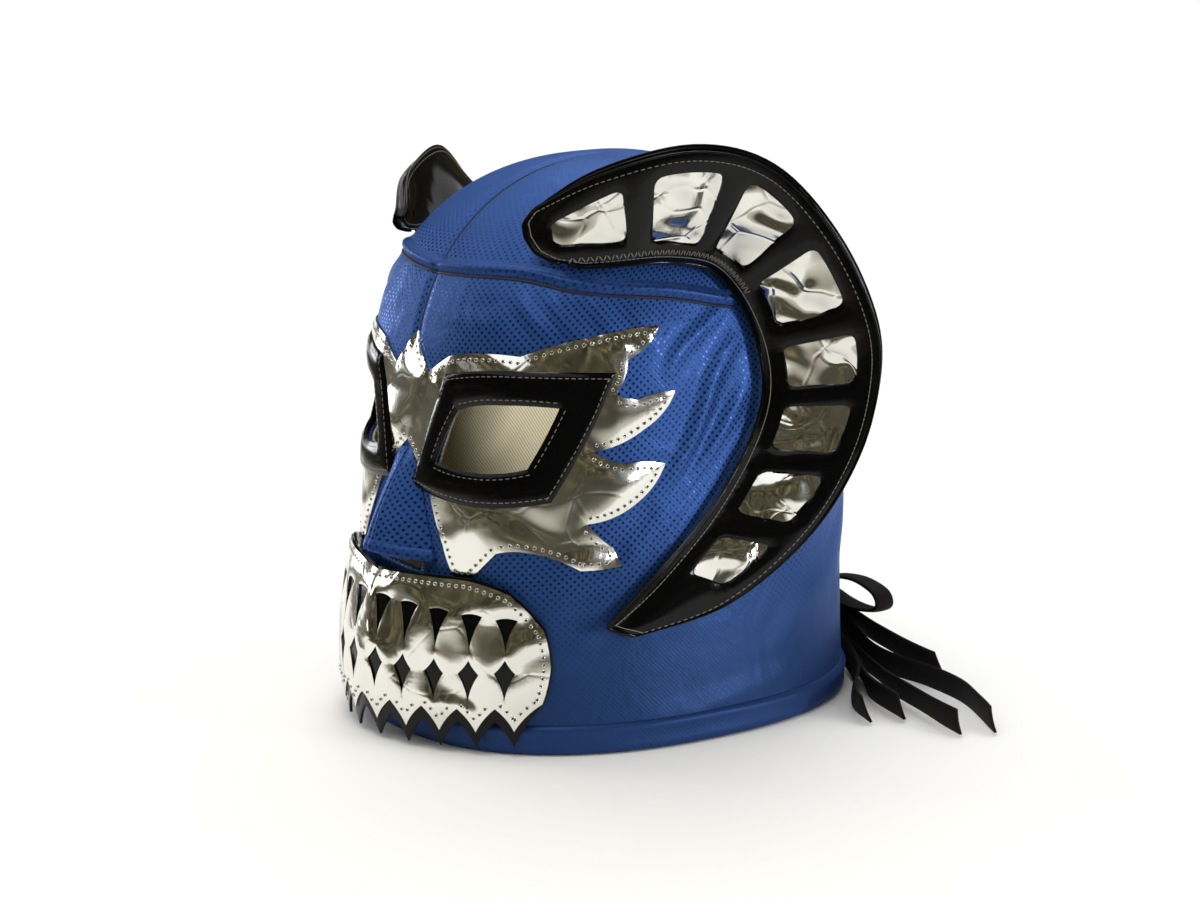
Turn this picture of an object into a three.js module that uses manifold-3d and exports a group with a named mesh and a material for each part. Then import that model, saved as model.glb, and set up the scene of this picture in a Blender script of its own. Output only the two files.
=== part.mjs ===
// A lucha libre mask: a laced fabric hood with eye frames, a foil face patch,
// a toothed jaw plate and a pair of ram's-horn panels.
// Millimetres, +Z up. The face looks along -Y and the wearer's left side is +X.
// The hood stands on its hem, which lies on the plane z = 0.

import * as THREE from 'three';
import { mergeVertices } from 'three/addons/utils/BufferGeometryUtils.js';
import { TessellateModifier } from 'three/addons/modifiers/TessellateModifier.js';
import { ConvexGeometry } from 'three/addons/geometries/ConvexGeometry.js';
import Module from 'manifold-3d';

const wasm = await Module();
wasm.setup();

// The hood: front depth, back depth and half width at even heights up to the temples
const HOOD_HEIGHT = 246;
const TEMPLE_HEIGHT = 150;
const HOOD_GIRTH = [
  new THREE.Vector3(111, 112, 92),
  new THREE.Vector3(109, 108, 88),
  new THREE.Vector3(104.5, 106, 85),
  new THREE.Vector3(99, 105, 84),
];
const HOOD_CENTRE_Y = 2;
const HEM_ROUNDNESS = 2.3;
const FACE_ROUNDNESS = 2.75;
const FACE_ROUND_HEIGHT = 120;
const DOME_ROUNDNESS = 2.2;
const HOOD_WALL = 3;
const HEM_BAND_HEIGHT = 13;
const HEM_BAND_PROUD = 1;

// Face places, from a head of 230 mm whose chin is 20 mm above the hem
const CHIN_HEIGHT = 20;
const HEAD_HEIGHT = 230;
const EYE_LINE = CHIN_HEIGHT + HEAD_HEIGHT / 2 + 3;
const NOSE_BASE = CHIN_HEIGHT + 60;
const NOSE_TOP = NOSE_BASE + 46;
const NOSE_HALF_WIDTH = 27;
const NOSE_REACH = 17;
const NOSE_WALL = 3;
const NOSE_DROP = 6;

// The ridge of the nose: shares of the way down from the bridge and of the tip's reach
const NOSE_RIDGE = [[0.3, 0.36], [0.65, 0.78], [1, 1]];

// How deep the nose's back is sunk in the hood, and how deep its hollow goes through it
const NOSE_SUNK = 1.5;
const NOSE_HOLLOW_DEPTH = 8;

// Thin pieces sewn on the hood: how far each layer's two faces stand off it
const FOIL_LAYER = [1.7, 2.5];
const FRAME_LAYER = [3.6, 4.7];
const LAYER_STEP = 16;

// Cutters reach this far past both faces of what they cut
const CUTTER_REACH = 5;
const CUTTER_EDGE = 30;
const CUTTER_SPLITS = 24;

// The jaw plate stands off the hood in the middle and meets it at both ends
const JAW_TOP = 74;
const JAW_END = 84;
const JAW_REACH = 9;
const JAW_FLARE = 3;
const JAW_FRONT_HALF_WIDTH = 32;
const JAW_FRONT_SETBACK = 2.5;
const JAW_END_STRAIGHT = 30;
const JAW_BACKING_LAYER = [0, 1.4];
const JAW_FOIL_LAYER = [2.1, 2.9];
const JAW_STEP = 20;
const TEETH_PER_SIDE = 5;
const TOOTH_PITCH = 15.4;

// Horn panels: stiff backing, foil sheet and black overlay with windows
const HORN_BACKING_LAYER = [0, 1.6];
const HORN_FOIL_LAYER = [2.2, 3.0];
const HORN_OVERLAY_LAYER = [3.6, 4.8];
const HORN_COLUMNS = 18;
const HORN_SEAM_GAP = 5;
const HORN_BORDER = 10;

// Windows along the horn, as shares of its length
const HORN_WINDOWS = 8;
const HORN_WINDOW_START = 0.035;
const HORN_WINDOW_LENGTH = 0.088;
const HORN_WINDOW_SHRINK = 0.0035;
const HORN_RIB_LENGTH = 0.034;

// The lacing slit up the back and the tape that crosses it between pairs of holes
const SLIT_HALF_WIDTH = 6;
const SLIT_TOP = 186;
const LACE_WIDTH = 7;
const LACE_HOLE_WALK = 14;
const LACE_CROSSINGS = 5;
const LACE_LOW = 27;
const LACE_PITCH = 31;
const LACE_STAND_OFF = 1.9;

// The loose ends of the tape: a knot, one loop and five tails that stand on edge on the table
const TAPE_WIDTH = 10;
const TAPE_THICKNESS = 1.2;
const TAPE_STEP = 12;
const KNOT_PLACE = new THREE.Vector3(2, 122.5, 24);
const KNOT_SIZE = new THREE.Vector3(11, 6.5, 9);
const TAIL_ROUTES = [
  [[14, 126, 21], [30, 125, 19.5], [46, 124, 17], [63, 128, 12.5], [84, 136, 7]],
  [[14, 124, 20], [30, 121.5, 14], [46, 120, 8.5], [64, 122, 6], [84, 124, 6], [110, 121, 6], [135, 112, 6],
    [156, 102, 6]],
  [[14, 122, 19], [27, 119.5, 12], [40, 116, 7.5], [68, 108, 6], [93, 100, 6], [122, 94, 6], [150, 89, 6]],
  [[14, 120, 18], [34, 114.8, 10], [62, 102.5, 6], [88, 89, 6], [119, 82, 6]],
  [[14, 118, 17], [36, 112, 9.5], [64, 98.5, 6], [84, 81, 6], [97, 72, 6], [114, 66, 6]],
];
const LOOP_ROUTE = [
  [9, 122, 34.5], [20, 122, 39], [36, 122, 41], [50, 122, 38.5], [54, 122, 33], [49, 122, 29],
  [36, 122, 27.5], [24, 122, 28], [14, 122, 30],
];

// Brings the middle of the mask's depth, from the horns' front ends to the knot, over the origin
const CENTRING_SHIFT = 3.53;

const FOIL = { color: 0xd6d6d0, roughness: 0.08, metalness: 1 };
const PATENT = { color: 0x0c0c0e, roughness: 0.12, metalness: 0 };
const STRETCH_FABRIC = { color: 0x2f62ad, roughness: 0.45, metalness: 0.25 };
const TAPE = { color: 0x1b1815, roughness: 0.9, metalness: 0 };

const girthCurve = new THREE.CatmullRomCurve3(HOOD_GIRTH, false, 'catmullrom', 0.5);

// Front depth, back depth and half width of the hood at one height
function girthAt(height) {
  const girth = girthCurve.getPoint(THREE.MathUtils.clamp(height / TEMPLE_HEIGHT, 0, 1));
  const rise = (height - TEMPLE_HEIGHT) / (HOOD_HEIGHT - TEMPLE_HEIGHT);
  if (rise > 0) {
    girth.multiplyScalar(Math.pow(Math.max(1 - Math.pow(rise, DOME_ROUNDNESS), 0), 1 / DOME_ROUNDNESS));
  }
  return girth;
}

// The section is nearly an oval at the hem and squarer round the face
function roundnessAt(height) {
  const share = THREE.MathUtils.smoothstep(height, 0, FACE_ROUND_HEIGHT);
  return THREE.MathUtils.lerp(HEM_ROUNDNESS, FACE_ROUNDNESS, share);
}

// One half of the hood's section, from the face centre line to the back centre line,
// as points with the distance walked so far
const SECTION_STEPS = 180;
const sectionCache = new Map();
function sectionAt(height) {
  const key = height.toFixed(3);
  if (sectionCache.has(key)) return sectionCache.get(key);
  const girth = girthAt(height);
  const power = 2 / roundnessAt(height);
  const points = [];
  let walked = 0;
  for (let step = 0; step <= SECTION_STEPS; step += 1) {
    const angle = Math.PI * step / SECTION_STEPS;
    const depth = Math.cos(angle) > 0 ? -girth.x : girth.y;
    const x = step === SECTION_STEPS ? 0 : girth.z * Math.pow(Math.abs(Math.sin(angle)), power);
    const y = HOOD_CENTRE_Y + depth * Math.pow(Math.abs(Math.cos(angle)), power);
    if (step > 0) walked += Math.hypot(x - points[step - 1].x, y - points[step - 1].y);
    points.push({ x, y, walked });
  }
  sectionCache.set(key, points);
  return points;
}

function halfGirth(height) {
  return sectionAt(height)[SECTION_STEPS].walked;
}

// The point on the hood reached by walking round from the face centre line, + to the wearer's left
function hoodSkin(walk, height) {
  const points = sectionAt(height);
  const distance = Math.min(Math.abs(walk), points[SECTION_STEPS].walked);
  let low = 0;
  let high = SECTION_STEPS;
  while (high - low > 1) {
    const middle = (low + high) >> 1;
    if (points[middle].walked > distance) high = middle;
    else low = middle;
  }
  const span = points[high].walked - points[low].walked;
  const share = span > 0 ? (distance - points[low].walked) / span : 0;
  const x = THREE.MathUtils.lerp(points[low].x, points[high].x, share);
  const y = THREE.MathUtils.lerp(points[low].y, points[high].y, share);
  return new THREE.Vector3(walk < 0 ? -x : x, y, height);
}

// Moves a point of a curved surface out along the surface's own normal
function standOff(surface, across, up, distance, step = 0.5) {
  const alongAcross = surface(across + step, up).sub(surface(across - step, up));
  const alongUp = surface(across, up + step).sub(surface(across, up - step));
  const normal = alongAcross.cross(alongUp).normalize();
  return surface(across, up).addScaledVector(normal, distance);
}

function onHood(walk, height, distance) {
  return standOff(hoodSkin, walk, height, distance);
}

// The same, walking from the back centre line, + to the wearer's right
function onHoodBack(walk, height, distance) {
  const side = walk < 0 ? 1 : -1;
  return onHood(side * (halfGirth(height) - Math.abs(walk)), height, distance);
}

// A flat slab in even squares. Both of its faces split their squares along the same
// diagonal, so that layers bent on the same surface stay apart
function slab(length, width, layer, columns, rows) {
  const box = new THREE.BoxGeometry(length, width, layer[1] - layer[0], columns, rows, 1);
  box.translate(0, 0, (layer[0] + layer[1]) / 2);
  const corners = box.getIndex();
  const underside = box.groups[box.groups.length - 1];
  for (let start = underside.start; start < underside.start + underside.count; start += 6) {
    const [first, second, fourth, third] = [0, 1, 2, 4].map((step) => corners.getX(start + step));
    [first, second, third, first, third, fourth].forEach((corner, step) => {
      corners.setX(start + step, corner);
    });
  }
  return box;
}

// A thin sheet over a rectangle of a curved surface, in even steps
function bentSheet(box, layer, stepLength, surface) {
  const size = box.getSize(new THREE.Vector2());
  const middle = box.getCenter(new THREE.Vector2());
  const columns = Math.ceil(size.x / stepLength);
  const rows = Math.ceil(size.y / (1.4 * stepLength));
  const sheet = slab(size.x, size.y, layer, columns, rows).translate(middle.x, middle.y, 0);
  return bend(sheet, (point) => surface(point.x, point.y, point.z));
}

// An outline pushed through a curved surface, as a cutter
function bentPrism(outline, layer, surface) {
  const depth = layer[1] - layer[0];
  const prism = new THREE.ExtrudeGeometry(outline, { depth, bevelEnabled: false });
  const split = new TessellateModifier(CUTTER_EDGE, CUTTER_SPLITS).modify(prism);
  return bend(split, (point) => surface(point.x, point.y, layer[0] + point.z));
}

// A plate of the outline's shape that follows the surface
function bentPlate(outline, layer, stepLength, surface) {
  const box = new THREE.Box2().setFromPoints(outline.getPoints());
  const sheet = solidOf(bentSheet(box.expandByScalar(1), layer, stepLength, surface));
  const cutter = solidOf(bentPrism(outline, [layer[0] - CUTTER_REACH, layer[1] + CUTTER_REACH], surface));
  return geometryOf(sheet.intersect(cutter));
}

// Corners are shared before they move, so that the plate stays closed
function bend(geometry, move) {
  const shared = welded(geometry);
  const places = shared.getAttribute('position');
  const point = new THREE.Vector3();
  for (let index = 0; index < places.count; index += 1) {
    point.fromBufferAttribute(places, index);
    const moved = move(point);
    places.setXYZ(index, moved.x, moved.y, moved.z);
  }
  return shared;
}

function welded(geometry) {
  const bare = geometry.clone();
  bare.deleteAttribute('normal');
  bare.deleteAttribute('uv');
  return mergeVertices(bare, 0.01);
}

function solidOf(geometry) {
  const shared = geometry.getIndex() && !geometry.getAttribute('normal') ? geometry : welded(geometry);
  const vertProperties = new Float32Array(shared.getAttribute('position').array);
  const triVerts = new Uint32Array(shared.getIndex().array);
  return new wasm.Manifold(new wasm.Mesh({ numProp: 3, vertProperties, triVerts }));
}

function geometryOf(solid) {
  const { vertProperties, triVerts, numProp } = solid.getMesh();
  const geometry = new THREE.BufferGeometry();
  const places = new Float32Array(vertProperties.length / numProp * 3);
  for (let index = 0; index < places.length / 3; index += 1) {
    places.set(vertProperties.subarray(index * numProp, index * numProp + 3), index * 3);
  }
  geometry.setAttribute('position', new THREE.BufferAttribute(places, 3));
  geometry.setIndex(new THREE.BufferAttribute(new Uint32Array(triVerts), 1));
  return geometry;
}

// The same plate for the wearer's right side, turned inside out so that its faces still point out
function mirrored(geometry) {
  const copy = geometry.clone();
  copy.scale(-1, 1, 1);
  const corners = copy.getIndex();
  for (let index = 0; index < corners.count; index += 3) {
    const second = corners.getX(index + 1);
    corners.setX(index + 1, corners.getX(index + 2));
    corners.setX(index + 2, second);
  }
  return copy;
}

const mask = new THREE.Group();

function addPiece(name, geometry, look) {
  const piece = new THREE.Mesh(geometry, new THREE.MeshStandardMaterial(look));
  piece.name = name;
  mask.add(piece);
}

function addPair(name, geometry, look) {
  addPiece(`${name}_left`, geometry, look);
  addPiece(`${name}_right`, mirrored(geometry), look);
}

// A closed outline, always drawn counter-clockwise
function outlineFrom(corners, Kind = THREE.Shape) {
  const points = corners.map(([across, up]) => new THREE.Vector2(across, up));
  return new Kind(THREE.ShapeUtils.isClockWise(points) ? points.reverse() : points);
}

// A closed form turned round the upright axis, whose rings are then pressed to the hood's section
function hoodForm(heights, columns, standOffAt, bottom, top) {
  const profile = [new THREE.Vector2(0, bottom)];
  for (const height of heights) profile.push(new THREE.Vector2(1, height));
  profile.push(new THREE.Vector2(0, top));
  const turned = new THREE.LatheGeometry(profile, columns);
  return bend(turned, (point) => {
    if (Math.hypot(point.x, point.z) < 0.5) return new THREE.Vector3(0, HOOD_CENTRE_Y, point.y);
    const turn = Math.atan2(point.x, point.z) / Math.PI;
    const height = Math.max(point.y, 0);
    const place = onHood(turn * halfGirth(height), height, standOffAt(point.y));
    place.z = point.y < TEMPLE_HEIGHT ? point.y : place.z;
    return place;
  });
}

function domeHeights(count) {
  const heights = [];
  for (let step = 0; step < count; step += 1) {
    const rise = Math.sin(Math.PI / 2 * step / count);
    heights.push(TEMPLE_HEIGHT + (HOOD_HEIGHT - TEMPLE_HEIGHT) * rise);
  }
  return heights;
}

function bandStandOff(height) {
  return height <= HEM_BAND_HEIGHT ? HEM_BAND_PROUD : 0;
}

// The nose gusset as a wedge: its ridge runs from the bridge down to the tip. A smaller wedge
// that drops below it hollows it out
function noseWedge(inset, drop, depth) {
  const front = hoodSkin(0, NOSE_BASE).y;
  const wedge = [onHood(0, NOSE_TOP - inset, -inset)];
  for (const [share, reach] of NOSE_RIDGE) {
    const height = THREE.MathUtils.lerp(NOSE_TOP, NOSE_BASE + 3, share) - (share === 1 ? drop : 0);
    wedge.push(new THREE.Vector3(0, front - NOSE_REACH * reach + inset * 1.6, height));
  }
  for (const side of [-1, 1]) {
    const walk = side * (NOSE_HALF_WIDTH - inset);
    wedge.push(onHood(walk, NOSE_BASE - drop, 0.5));
    wedge.push(onHood(walk, NOSE_BASE - drop, -depth));
    wedge.push(onHood(walk * 0.35, NOSE_TOP - 12 - inset, -depth));
  }
  return new ConvexGeometry(wedge);
}

// The eye opening and the black frame round it, drawn on the unrolled left side of the face
const EYE_OPENING = [[24, -15], [35, 9], [56, 13.5], [80, 13], [69, -13], [46, -16.5]];
const EYE_FRAME = [[8, -27], [26, 23], [56, 28], [103, 27], [80, -27], [46, -31]];

function eyeCorners(corners, grow = 0) {
  const middleWalk = 52;
  return corners.map(([walk, rise]) => [
    walk + Math.sign(walk - middleWalk) * grow,
    EYE_LINE + rise + Math.sign(rise) * grow,
  ]);
}

function makeHood() {
  const outerHeights = [0, HEM_BAND_HEIGHT, HEM_BAND_HEIGHT + 1.2, 42, 70, 98, 125, ...domeHeights(7)];
  const innerHeights = [-5, 0, 40, 80, 118, ...domeHeights(6)];
  const outside = hoodForm(outerHeights, 44, bandStandOff, 0, HOOD_HEIGHT);
  const inside = hoodForm(innerHeights, 24, () => -HOOD_WALL, -5, HOOD_HEIGHT - HOOD_WALL);
  let hood = solidOf(outside).subtract(solidOf(inside));
  hood = hood.add(solidOf(noseWedge(0, 0, NOSE_SUNK)));
  hood = hood.subtract(solidOf(noseWedge(NOSE_WALL, NOSE_DROP, NOSE_HOLLOW_DEPTH)));
  const openingLayer = [-HOOD_WALL - CUTTER_REACH, CUTTER_REACH];
  const opening = bentPrism(outlineFrom(eyeCorners(EYE_OPENING, 1)), openingLayer, onHood);
  hood = hood.subtract(solidOf(opening)).subtract(solidOf(mirrored(opening)));
  const slit = new THREE.BoxGeometry(2 * SLIT_HALF_WIDTH, 60, SLIT_TOP + 10);
  slit.translate(0, 100, SLIT_TOP / 2 - 5);
  addPiece('hood', geometryOf(hood.subtract(solidOf(slit))), STRETCH_FABRIC);
}

function makeEyeFrames() {
  const frame = outlineFrom(eyeCorners(EYE_FRAME));
  frame.holes.push(outlineFrom(eyeCorners(EYE_OPENING), THREE.Path));
  addPair('eye_frame', bentPlate(frame, FRAME_LAYER, LAYER_STEP, onHood), PATENT);
}

// Half of the foil patch's outline from the brow peak round the flames to beside the nose
function foilHalf(side) {
  const eye = EYE_LINE;
  const corners = [
    [0, eye + 38], [13, eye + 22], [27, eye + 31], [62, eye + 34],
    [90, eye + 42], [120, eye + 45], [108, eye + 32], [104, eye + 18],
    [114, eye + 15], [132, eye + 17], [118, eye + 2], [96, eye - 6],
    [110, eye - 12], [130, eye - 14], [117, eye - 30], [96, eye - 37],
    [108, eye - 48], [112, eye - 56], [94, eye - 57], [72, eye - 49], [58, eye - 50],
    [47, eye - 62], [38, eye - 62], [31, eye - 50], [18, eye - 25],
  ];
  return corners.map(([walk, height]) => [side * walk, height]);
}

function makeFacePatch() {
  const left = foilHalf(1);
  const right = foilHalf(-1).slice(1).reverse();
  const patch = outlineFrom([...left, [0, NOSE_TOP + 3], ...right]);
  const hole = eyeCorners(EYE_OPENING, 4);
  patch.holes.push(outlineFrom(hole, THREE.Path));
  patch.holes.push(outlineFrom(hole.map(([walk, height]) => [-walk, height]), THREE.Path));
  addPiece('face_patch', bentPlate(patch, FOIL_LAYER, LAYER_STEP, onHood), FOIL);
}

// The jaw plate's own surface: at each height a curve from the centre fold back to the hood's side
const jawCache = new Map();
function jawCurve(height) {
  const key = height.toFixed(2);
  if (!jawCache.has(key)) {
    const end = onHood(JAW_END, height, 1.4);
    const ahead = end.clone().sub(onHood(JAW_END + 4, height, 1.4)).setLength(JAW_END_STRAIGHT);
    const reach = girthAt(height).x - HOOD_CENTRE_Y + JAW_REACH + JAW_FLARE * (1 - height / JAW_TOP);
    const fold = new THREE.Vector3(0, -reach, height);
    const beside = new THREE.Vector3(JAW_FRONT_HALF_WIDTH, -reach + JAW_FRONT_SETBACK, height);
    jawCache.set(key, new THREE.CubicBezierCurve3(fold, beside, end.clone().add(ahead), end));
  }
  return jawCache.get(key);
}

function jawSkin(walk, height) {
  const curve = jawCurve(height);
  const share = Math.abs(walk) / JAW_END;
  const place = curve.getPoint(THREE.MathUtils.clamp(share, 0, 1));
  if (share > 1) place.addScaledVector(curve.getTangent(1), (share - 1) * JAW_END);
  place.x *= Math.sign(walk || 1);
  return place;
}

function onJaw(walk, height, distance) {
  return standOff(jawSkin, walk, height, distance);
}

// The mouth line curves up a little towards both ends of the jaw
function mouthRise(walk) {
  return 4 * (walk / JAW_END) ** 2;
}

// Corners of a row of downward jags, from the wearer's left to the right
function jagRow(tip, valley) {
  const corners = [];
  for (let jag = TEETH_PER_SIDE - 1; jag >= 1 - TEETH_PER_SIDE; jag -= 1) {
    const walk = (jag + 0.5) * TOOTH_PITCH;
    corners.push([walk, tip + mouthRise(walk)]);
    corners.push([walk - TOOTH_PITCH / 2, valley + mouthRise(walk)]);
  }
  corners.push([(0.5 - TEETH_PER_SIDE) * TOOTH_PITCH, tip + mouthRise(JAW_END)]);
  return corners;
}

function jawOutline(inset, tip, valley) {
  const end = JAW_END - inset;
  const left = [
    [46, JAW_TOP + 3 - inset], [66, JAW_TOP - 2 - inset], [end - 3, 56], [end, 40], [end - 3, 24],
  ];
  const right = left.map(([walk, height]) => [-walk, height]).reverse();
  return outlineFrom([...right, [0, JAW_TOP - inset], ...left, ...jagRow(tip, valley)]);
}

function makeJaw() {
  const backing = jawOutline(0, 1.5, 13);
  addPiece('jaw_backing', bentPlate(backing, JAW_BACKING_LAYER, JAW_STEP, onJaw), PATENT);
  const foil = jawOutline(2.5, 9, 19);
  for (let tooth = -TEETH_PER_SIDE; tooth < TEETH_PER_SIDE; tooth += 1) {
    const walk = (tooth + 0.5) * (TOOTH_PITCH - 0.9);
    const rise = mouthRise(walk);
    const lean = 0.5 * Math.sign(walk);
    const upper = [[walk - 4.5, 63 - rise + lean], [walk, 45 + rise], [walk + 4.5, 63 - rise - lean]];
    const lower = [[walk - 4.2, 35 + rise], [walk, 23 + rise], [walk + 4.2, 35 + rise], [walk, 41 + rise]];
    foil.holes.push(outlineFrom(upper, THREE.Path), outlineFrom(lower, THREE.Path));
  }
  addPiece('jaw_foil', bentPlate(foil, JAW_FOIL_LAYER, JAW_STEP, onJaw), FOIL);
}

// The horn is a band between an inner edge sewn to the hood and an outer edge that stands free
const HORN_INNER_EDGE = [
  [50, 207], [84, 209], [111, 209], [137, 204], [159, 190], [175, 168],
  [178, 145], [169, 121], [150, 97], [127, 76], [106, 56],
];
const HORN_OUTER_EDGES = {
  left: [
    [50, -70, 231], [79, -54, 251], [100, -20, 261], [110, 14, 251], [118, 42, 220],
    [122, 60, 182], [119, 63, 150], [113, 55, 118], [104, 35, 87], [95, 0, 62], [88, -45, 51],
  ],
  right: [
    [50, -70, 219], [80, -50, 232], [108, -18, 238], [118, 2, 223], [124, 22, 197],
    [124, 38, 168], [121, 46, 140], [114, 42, 112], [104, 26, 85], [95, -5, 62], [88, -45, 51],
  ],
};
const hornInner = new THREE.CatmullRomCurve3(
  HORN_INNER_EDGE.map(([walk, height]) => onHood(walk, height, HORN_SEAM_GAP)),
);
let hornOuter = null;

// Along the horn from its blunt front end to its tip, and across it from the inner to the outer edge
function hornSkin(along, across) {
  const share = THREE.MathUtils.clamp(along, 0, 1);
  return hornInner.getPoint(share).lerp(hornOuter.getPoint(share), across);
}

function onHorn(along, across, distance) {
  return standOff(hornSkin, along, across, distance, 0.01);
}

// A thin layer of the horn between two places along it, with the same margin at both long edges
function hornLayer(from, to, margin, layer, columns, rows) {
  const sheet = slab(1, 1, layer, columns, rows).translate(0.5, 0.5, 0);
  return bend(sheet, (point) => {
    const along = THREE.MathUtils.lerp(from, to, point.x);
    const share = margin / hornSkin(along, 0).distanceTo(hornSkin(along, 1));
    return onHorn(along, THREE.MathUtils.lerp(share, 1 - share, point.y), point.z);
  });
}

function hornPieces() {
  let overlay = solidOf(hornLayer(0, 1, 0, HORN_OVERLAY_LAYER, HORN_COLUMNS, 1));
  let from = HORN_WINDOW_START;
  for (let window = 0; window < HORN_WINDOWS; window += 1) {
    const length = HORN_WINDOW_LENGTH - HORN_WINDOW_SHRINK * window;
    const through = [HORN_OVERLAY_LAYER[0] - CUTTER_REACH, HORN_OVERLAY_LAYER[1] + CUTTER_REACH];
    overlay = overlay.subtract(solidOf(hornLayer(from, from + length, HORN_BORDER, through, 1, 2)));
    from += length + HORN_RIB_LENGTH;
  }
  const column = 1 / HORN_COLUMNS;
  const foil = hornLayer(column, 1 - column, 0, HORN_FOIL_LAYER, HORN_COLUMNS - 2, 1);
  return [
    ['horn_backing', hornLayer(0, 1, 0, HORN_BACKING_LAYER, HORN_COLUMNS, 1), PATENT],
    ['horn_foil', foil, FOIL],
    ['horn_overlay', geometryOf(overlay), PATENT],
  ];
}

// The right horn leans out further than the left one, and its back droops
function makeHorns() {
  for (const side of ['left', 'right']) {
    hornOuter = new THREE.CatmullRomCurve3(
      HORN_OUTER_EDGES[side].map(([x, y, z]) => new THREE.Vector3(x, y, z)),
    );
    for (const [name, geometry, look] of hornPieces()) {
      addPiece(`${name}_${side}`, side === 'left' ? geometry : mirrored(geometry), look);
    }
  }
}

// One stretch of tape laid on the hood's back between two lace holes
function laidTape(start, end) {
  const ahead = end.clone().sub(start);
  const side = new THREE.Vector2(-ahead.y, ahead.x).normalize();
  const strip = new THREE.BoxGeometry(1, LACE_WIDTH, TAPE_THICKNESS, 2, 1, 1);
  return solidOf(bend(strip, (point) => {
    const place = start.clone().addScaledVector(ahead, point.x + 0.5).addScaledVector(side, point.y);
    return onHoodBack(place.x, place.y, LACE_STAND_OFF + point.z);
  }));
}

function makeBackLace() {
  let lace = null;
  for (let cross = 0; cross < LACE_CROSSINGS; cross += 1) {
    const low = LACE_LOW + cross * LACE_PITCH;
    for (const side of [-1, 1]) {
      const start = new THREE.Vector2(-side * LACE_HOLE_WALK, low);
      const tape = laidTape(start, new THREE.Vector2(side * LACE_HOLE_WALK, low + LACE_PITCH));
      lace = lace ? lace.add(tape) : tape;
    }
  }
  addPiece('back_lace', geometryOf(lace), TAPE);
  const knot = new THREE.SphereGeometry(1, 10, 7);
  addPiece('lace_knot', bend(knot, (point) => point.clone().multiply(KNOT_SIZE).add(KNOT_PLACE)), TAPE);
}

// A free stretch of tape along a route of points, with its width held along one direction
function freeTape(route, widthAlong) {
  const curve = new THREE.CatmullRomCurve3(route.map(([x, y, z]) => new THREE.Vector3(x, y, z)));
  const steps = Math.ceil(curve.getLength() / TAPE_STEP);
  const strip = new THREE.BoxGeometry(1, TAPE_WIDTH, TAPE_THICKNESS, steps, 1, 1);
  return bend(strip, (point) => {
    const thickness = curve.getTangentAt(point.x + 0.5).cross(widthAlong).normalize();
    const place = curve.getPointAt(point.x + 0.5).addScaledVector(widthAlong, point.y);
    return place.addScaledVector(thickness, point.z);
  });
}

function makeFreeLaces() {
  TAIL_ROUTES.forEach((route, index) => {
    addPiece(`lace_tail_${index + 1}`, freeTape(route, new THREE.Vector3(0, 0, 1)), TAPE);
  });
  addPiece('lace_loop', freeTape(LOOP_ROUTE, new THREE.Vector3(0, 1, 0)), TAPE);
}

makeHood();
makeEyeFrames();
makeFacePatch();
makeJaw();
makeHorns();
makeBackLace();
makeFreeLaces();
mask.position.y = CENTRING_SHIFT;

export default mask;
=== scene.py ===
# %% [markdown]
# # A lucha libre mask, sewn piece by piece
# A mask like this is cut flat from stretch fabric and vinyl, then sewn together on a head form.
# This lesson works the same way: each piece is drawn flat in millimetres, cut, and then laid on
# the curved hood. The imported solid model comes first, and gives the frame that everything sits in.

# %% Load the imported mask
import math

import bmesh
import bpy
import numpy as np
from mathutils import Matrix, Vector


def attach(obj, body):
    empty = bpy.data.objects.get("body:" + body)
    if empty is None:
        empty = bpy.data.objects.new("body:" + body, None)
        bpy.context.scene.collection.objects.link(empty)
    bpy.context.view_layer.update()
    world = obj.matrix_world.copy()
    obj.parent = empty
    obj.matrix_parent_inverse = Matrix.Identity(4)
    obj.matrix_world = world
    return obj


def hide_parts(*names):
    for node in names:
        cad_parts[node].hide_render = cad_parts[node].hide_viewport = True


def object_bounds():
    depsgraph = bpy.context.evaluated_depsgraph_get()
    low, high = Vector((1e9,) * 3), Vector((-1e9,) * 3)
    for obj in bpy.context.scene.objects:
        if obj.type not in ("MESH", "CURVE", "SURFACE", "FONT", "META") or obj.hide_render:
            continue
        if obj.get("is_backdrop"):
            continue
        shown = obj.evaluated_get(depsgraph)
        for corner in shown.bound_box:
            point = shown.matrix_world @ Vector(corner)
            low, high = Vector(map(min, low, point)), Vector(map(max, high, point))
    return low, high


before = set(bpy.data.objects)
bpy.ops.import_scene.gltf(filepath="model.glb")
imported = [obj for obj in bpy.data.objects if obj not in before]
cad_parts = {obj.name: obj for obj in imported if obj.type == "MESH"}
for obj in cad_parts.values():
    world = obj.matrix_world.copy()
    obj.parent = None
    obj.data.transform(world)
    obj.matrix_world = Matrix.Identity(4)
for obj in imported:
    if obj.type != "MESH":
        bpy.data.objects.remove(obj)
cad_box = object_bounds()
print("packed nodes:", len(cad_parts))

# %% [markdown]
# ## The photograph's viewpoint
# The mask is seen from its left, a little above the eye line, through a long lens. The camera comes
# first because the loose laces have to stay inside its view.

# %% Camera
MM = 0.001
CENTRING_SHIFT = 3.53
CAMERA_AZIMUTH = math.radians(56)
CAMERA_ELEVATION = math.radians(12.7)
CAMERA_DISTANCE = 1.5
CAMERA_TARGET = Vector((0, CENTRING_SHIFT, 111.2)) * MM

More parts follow.
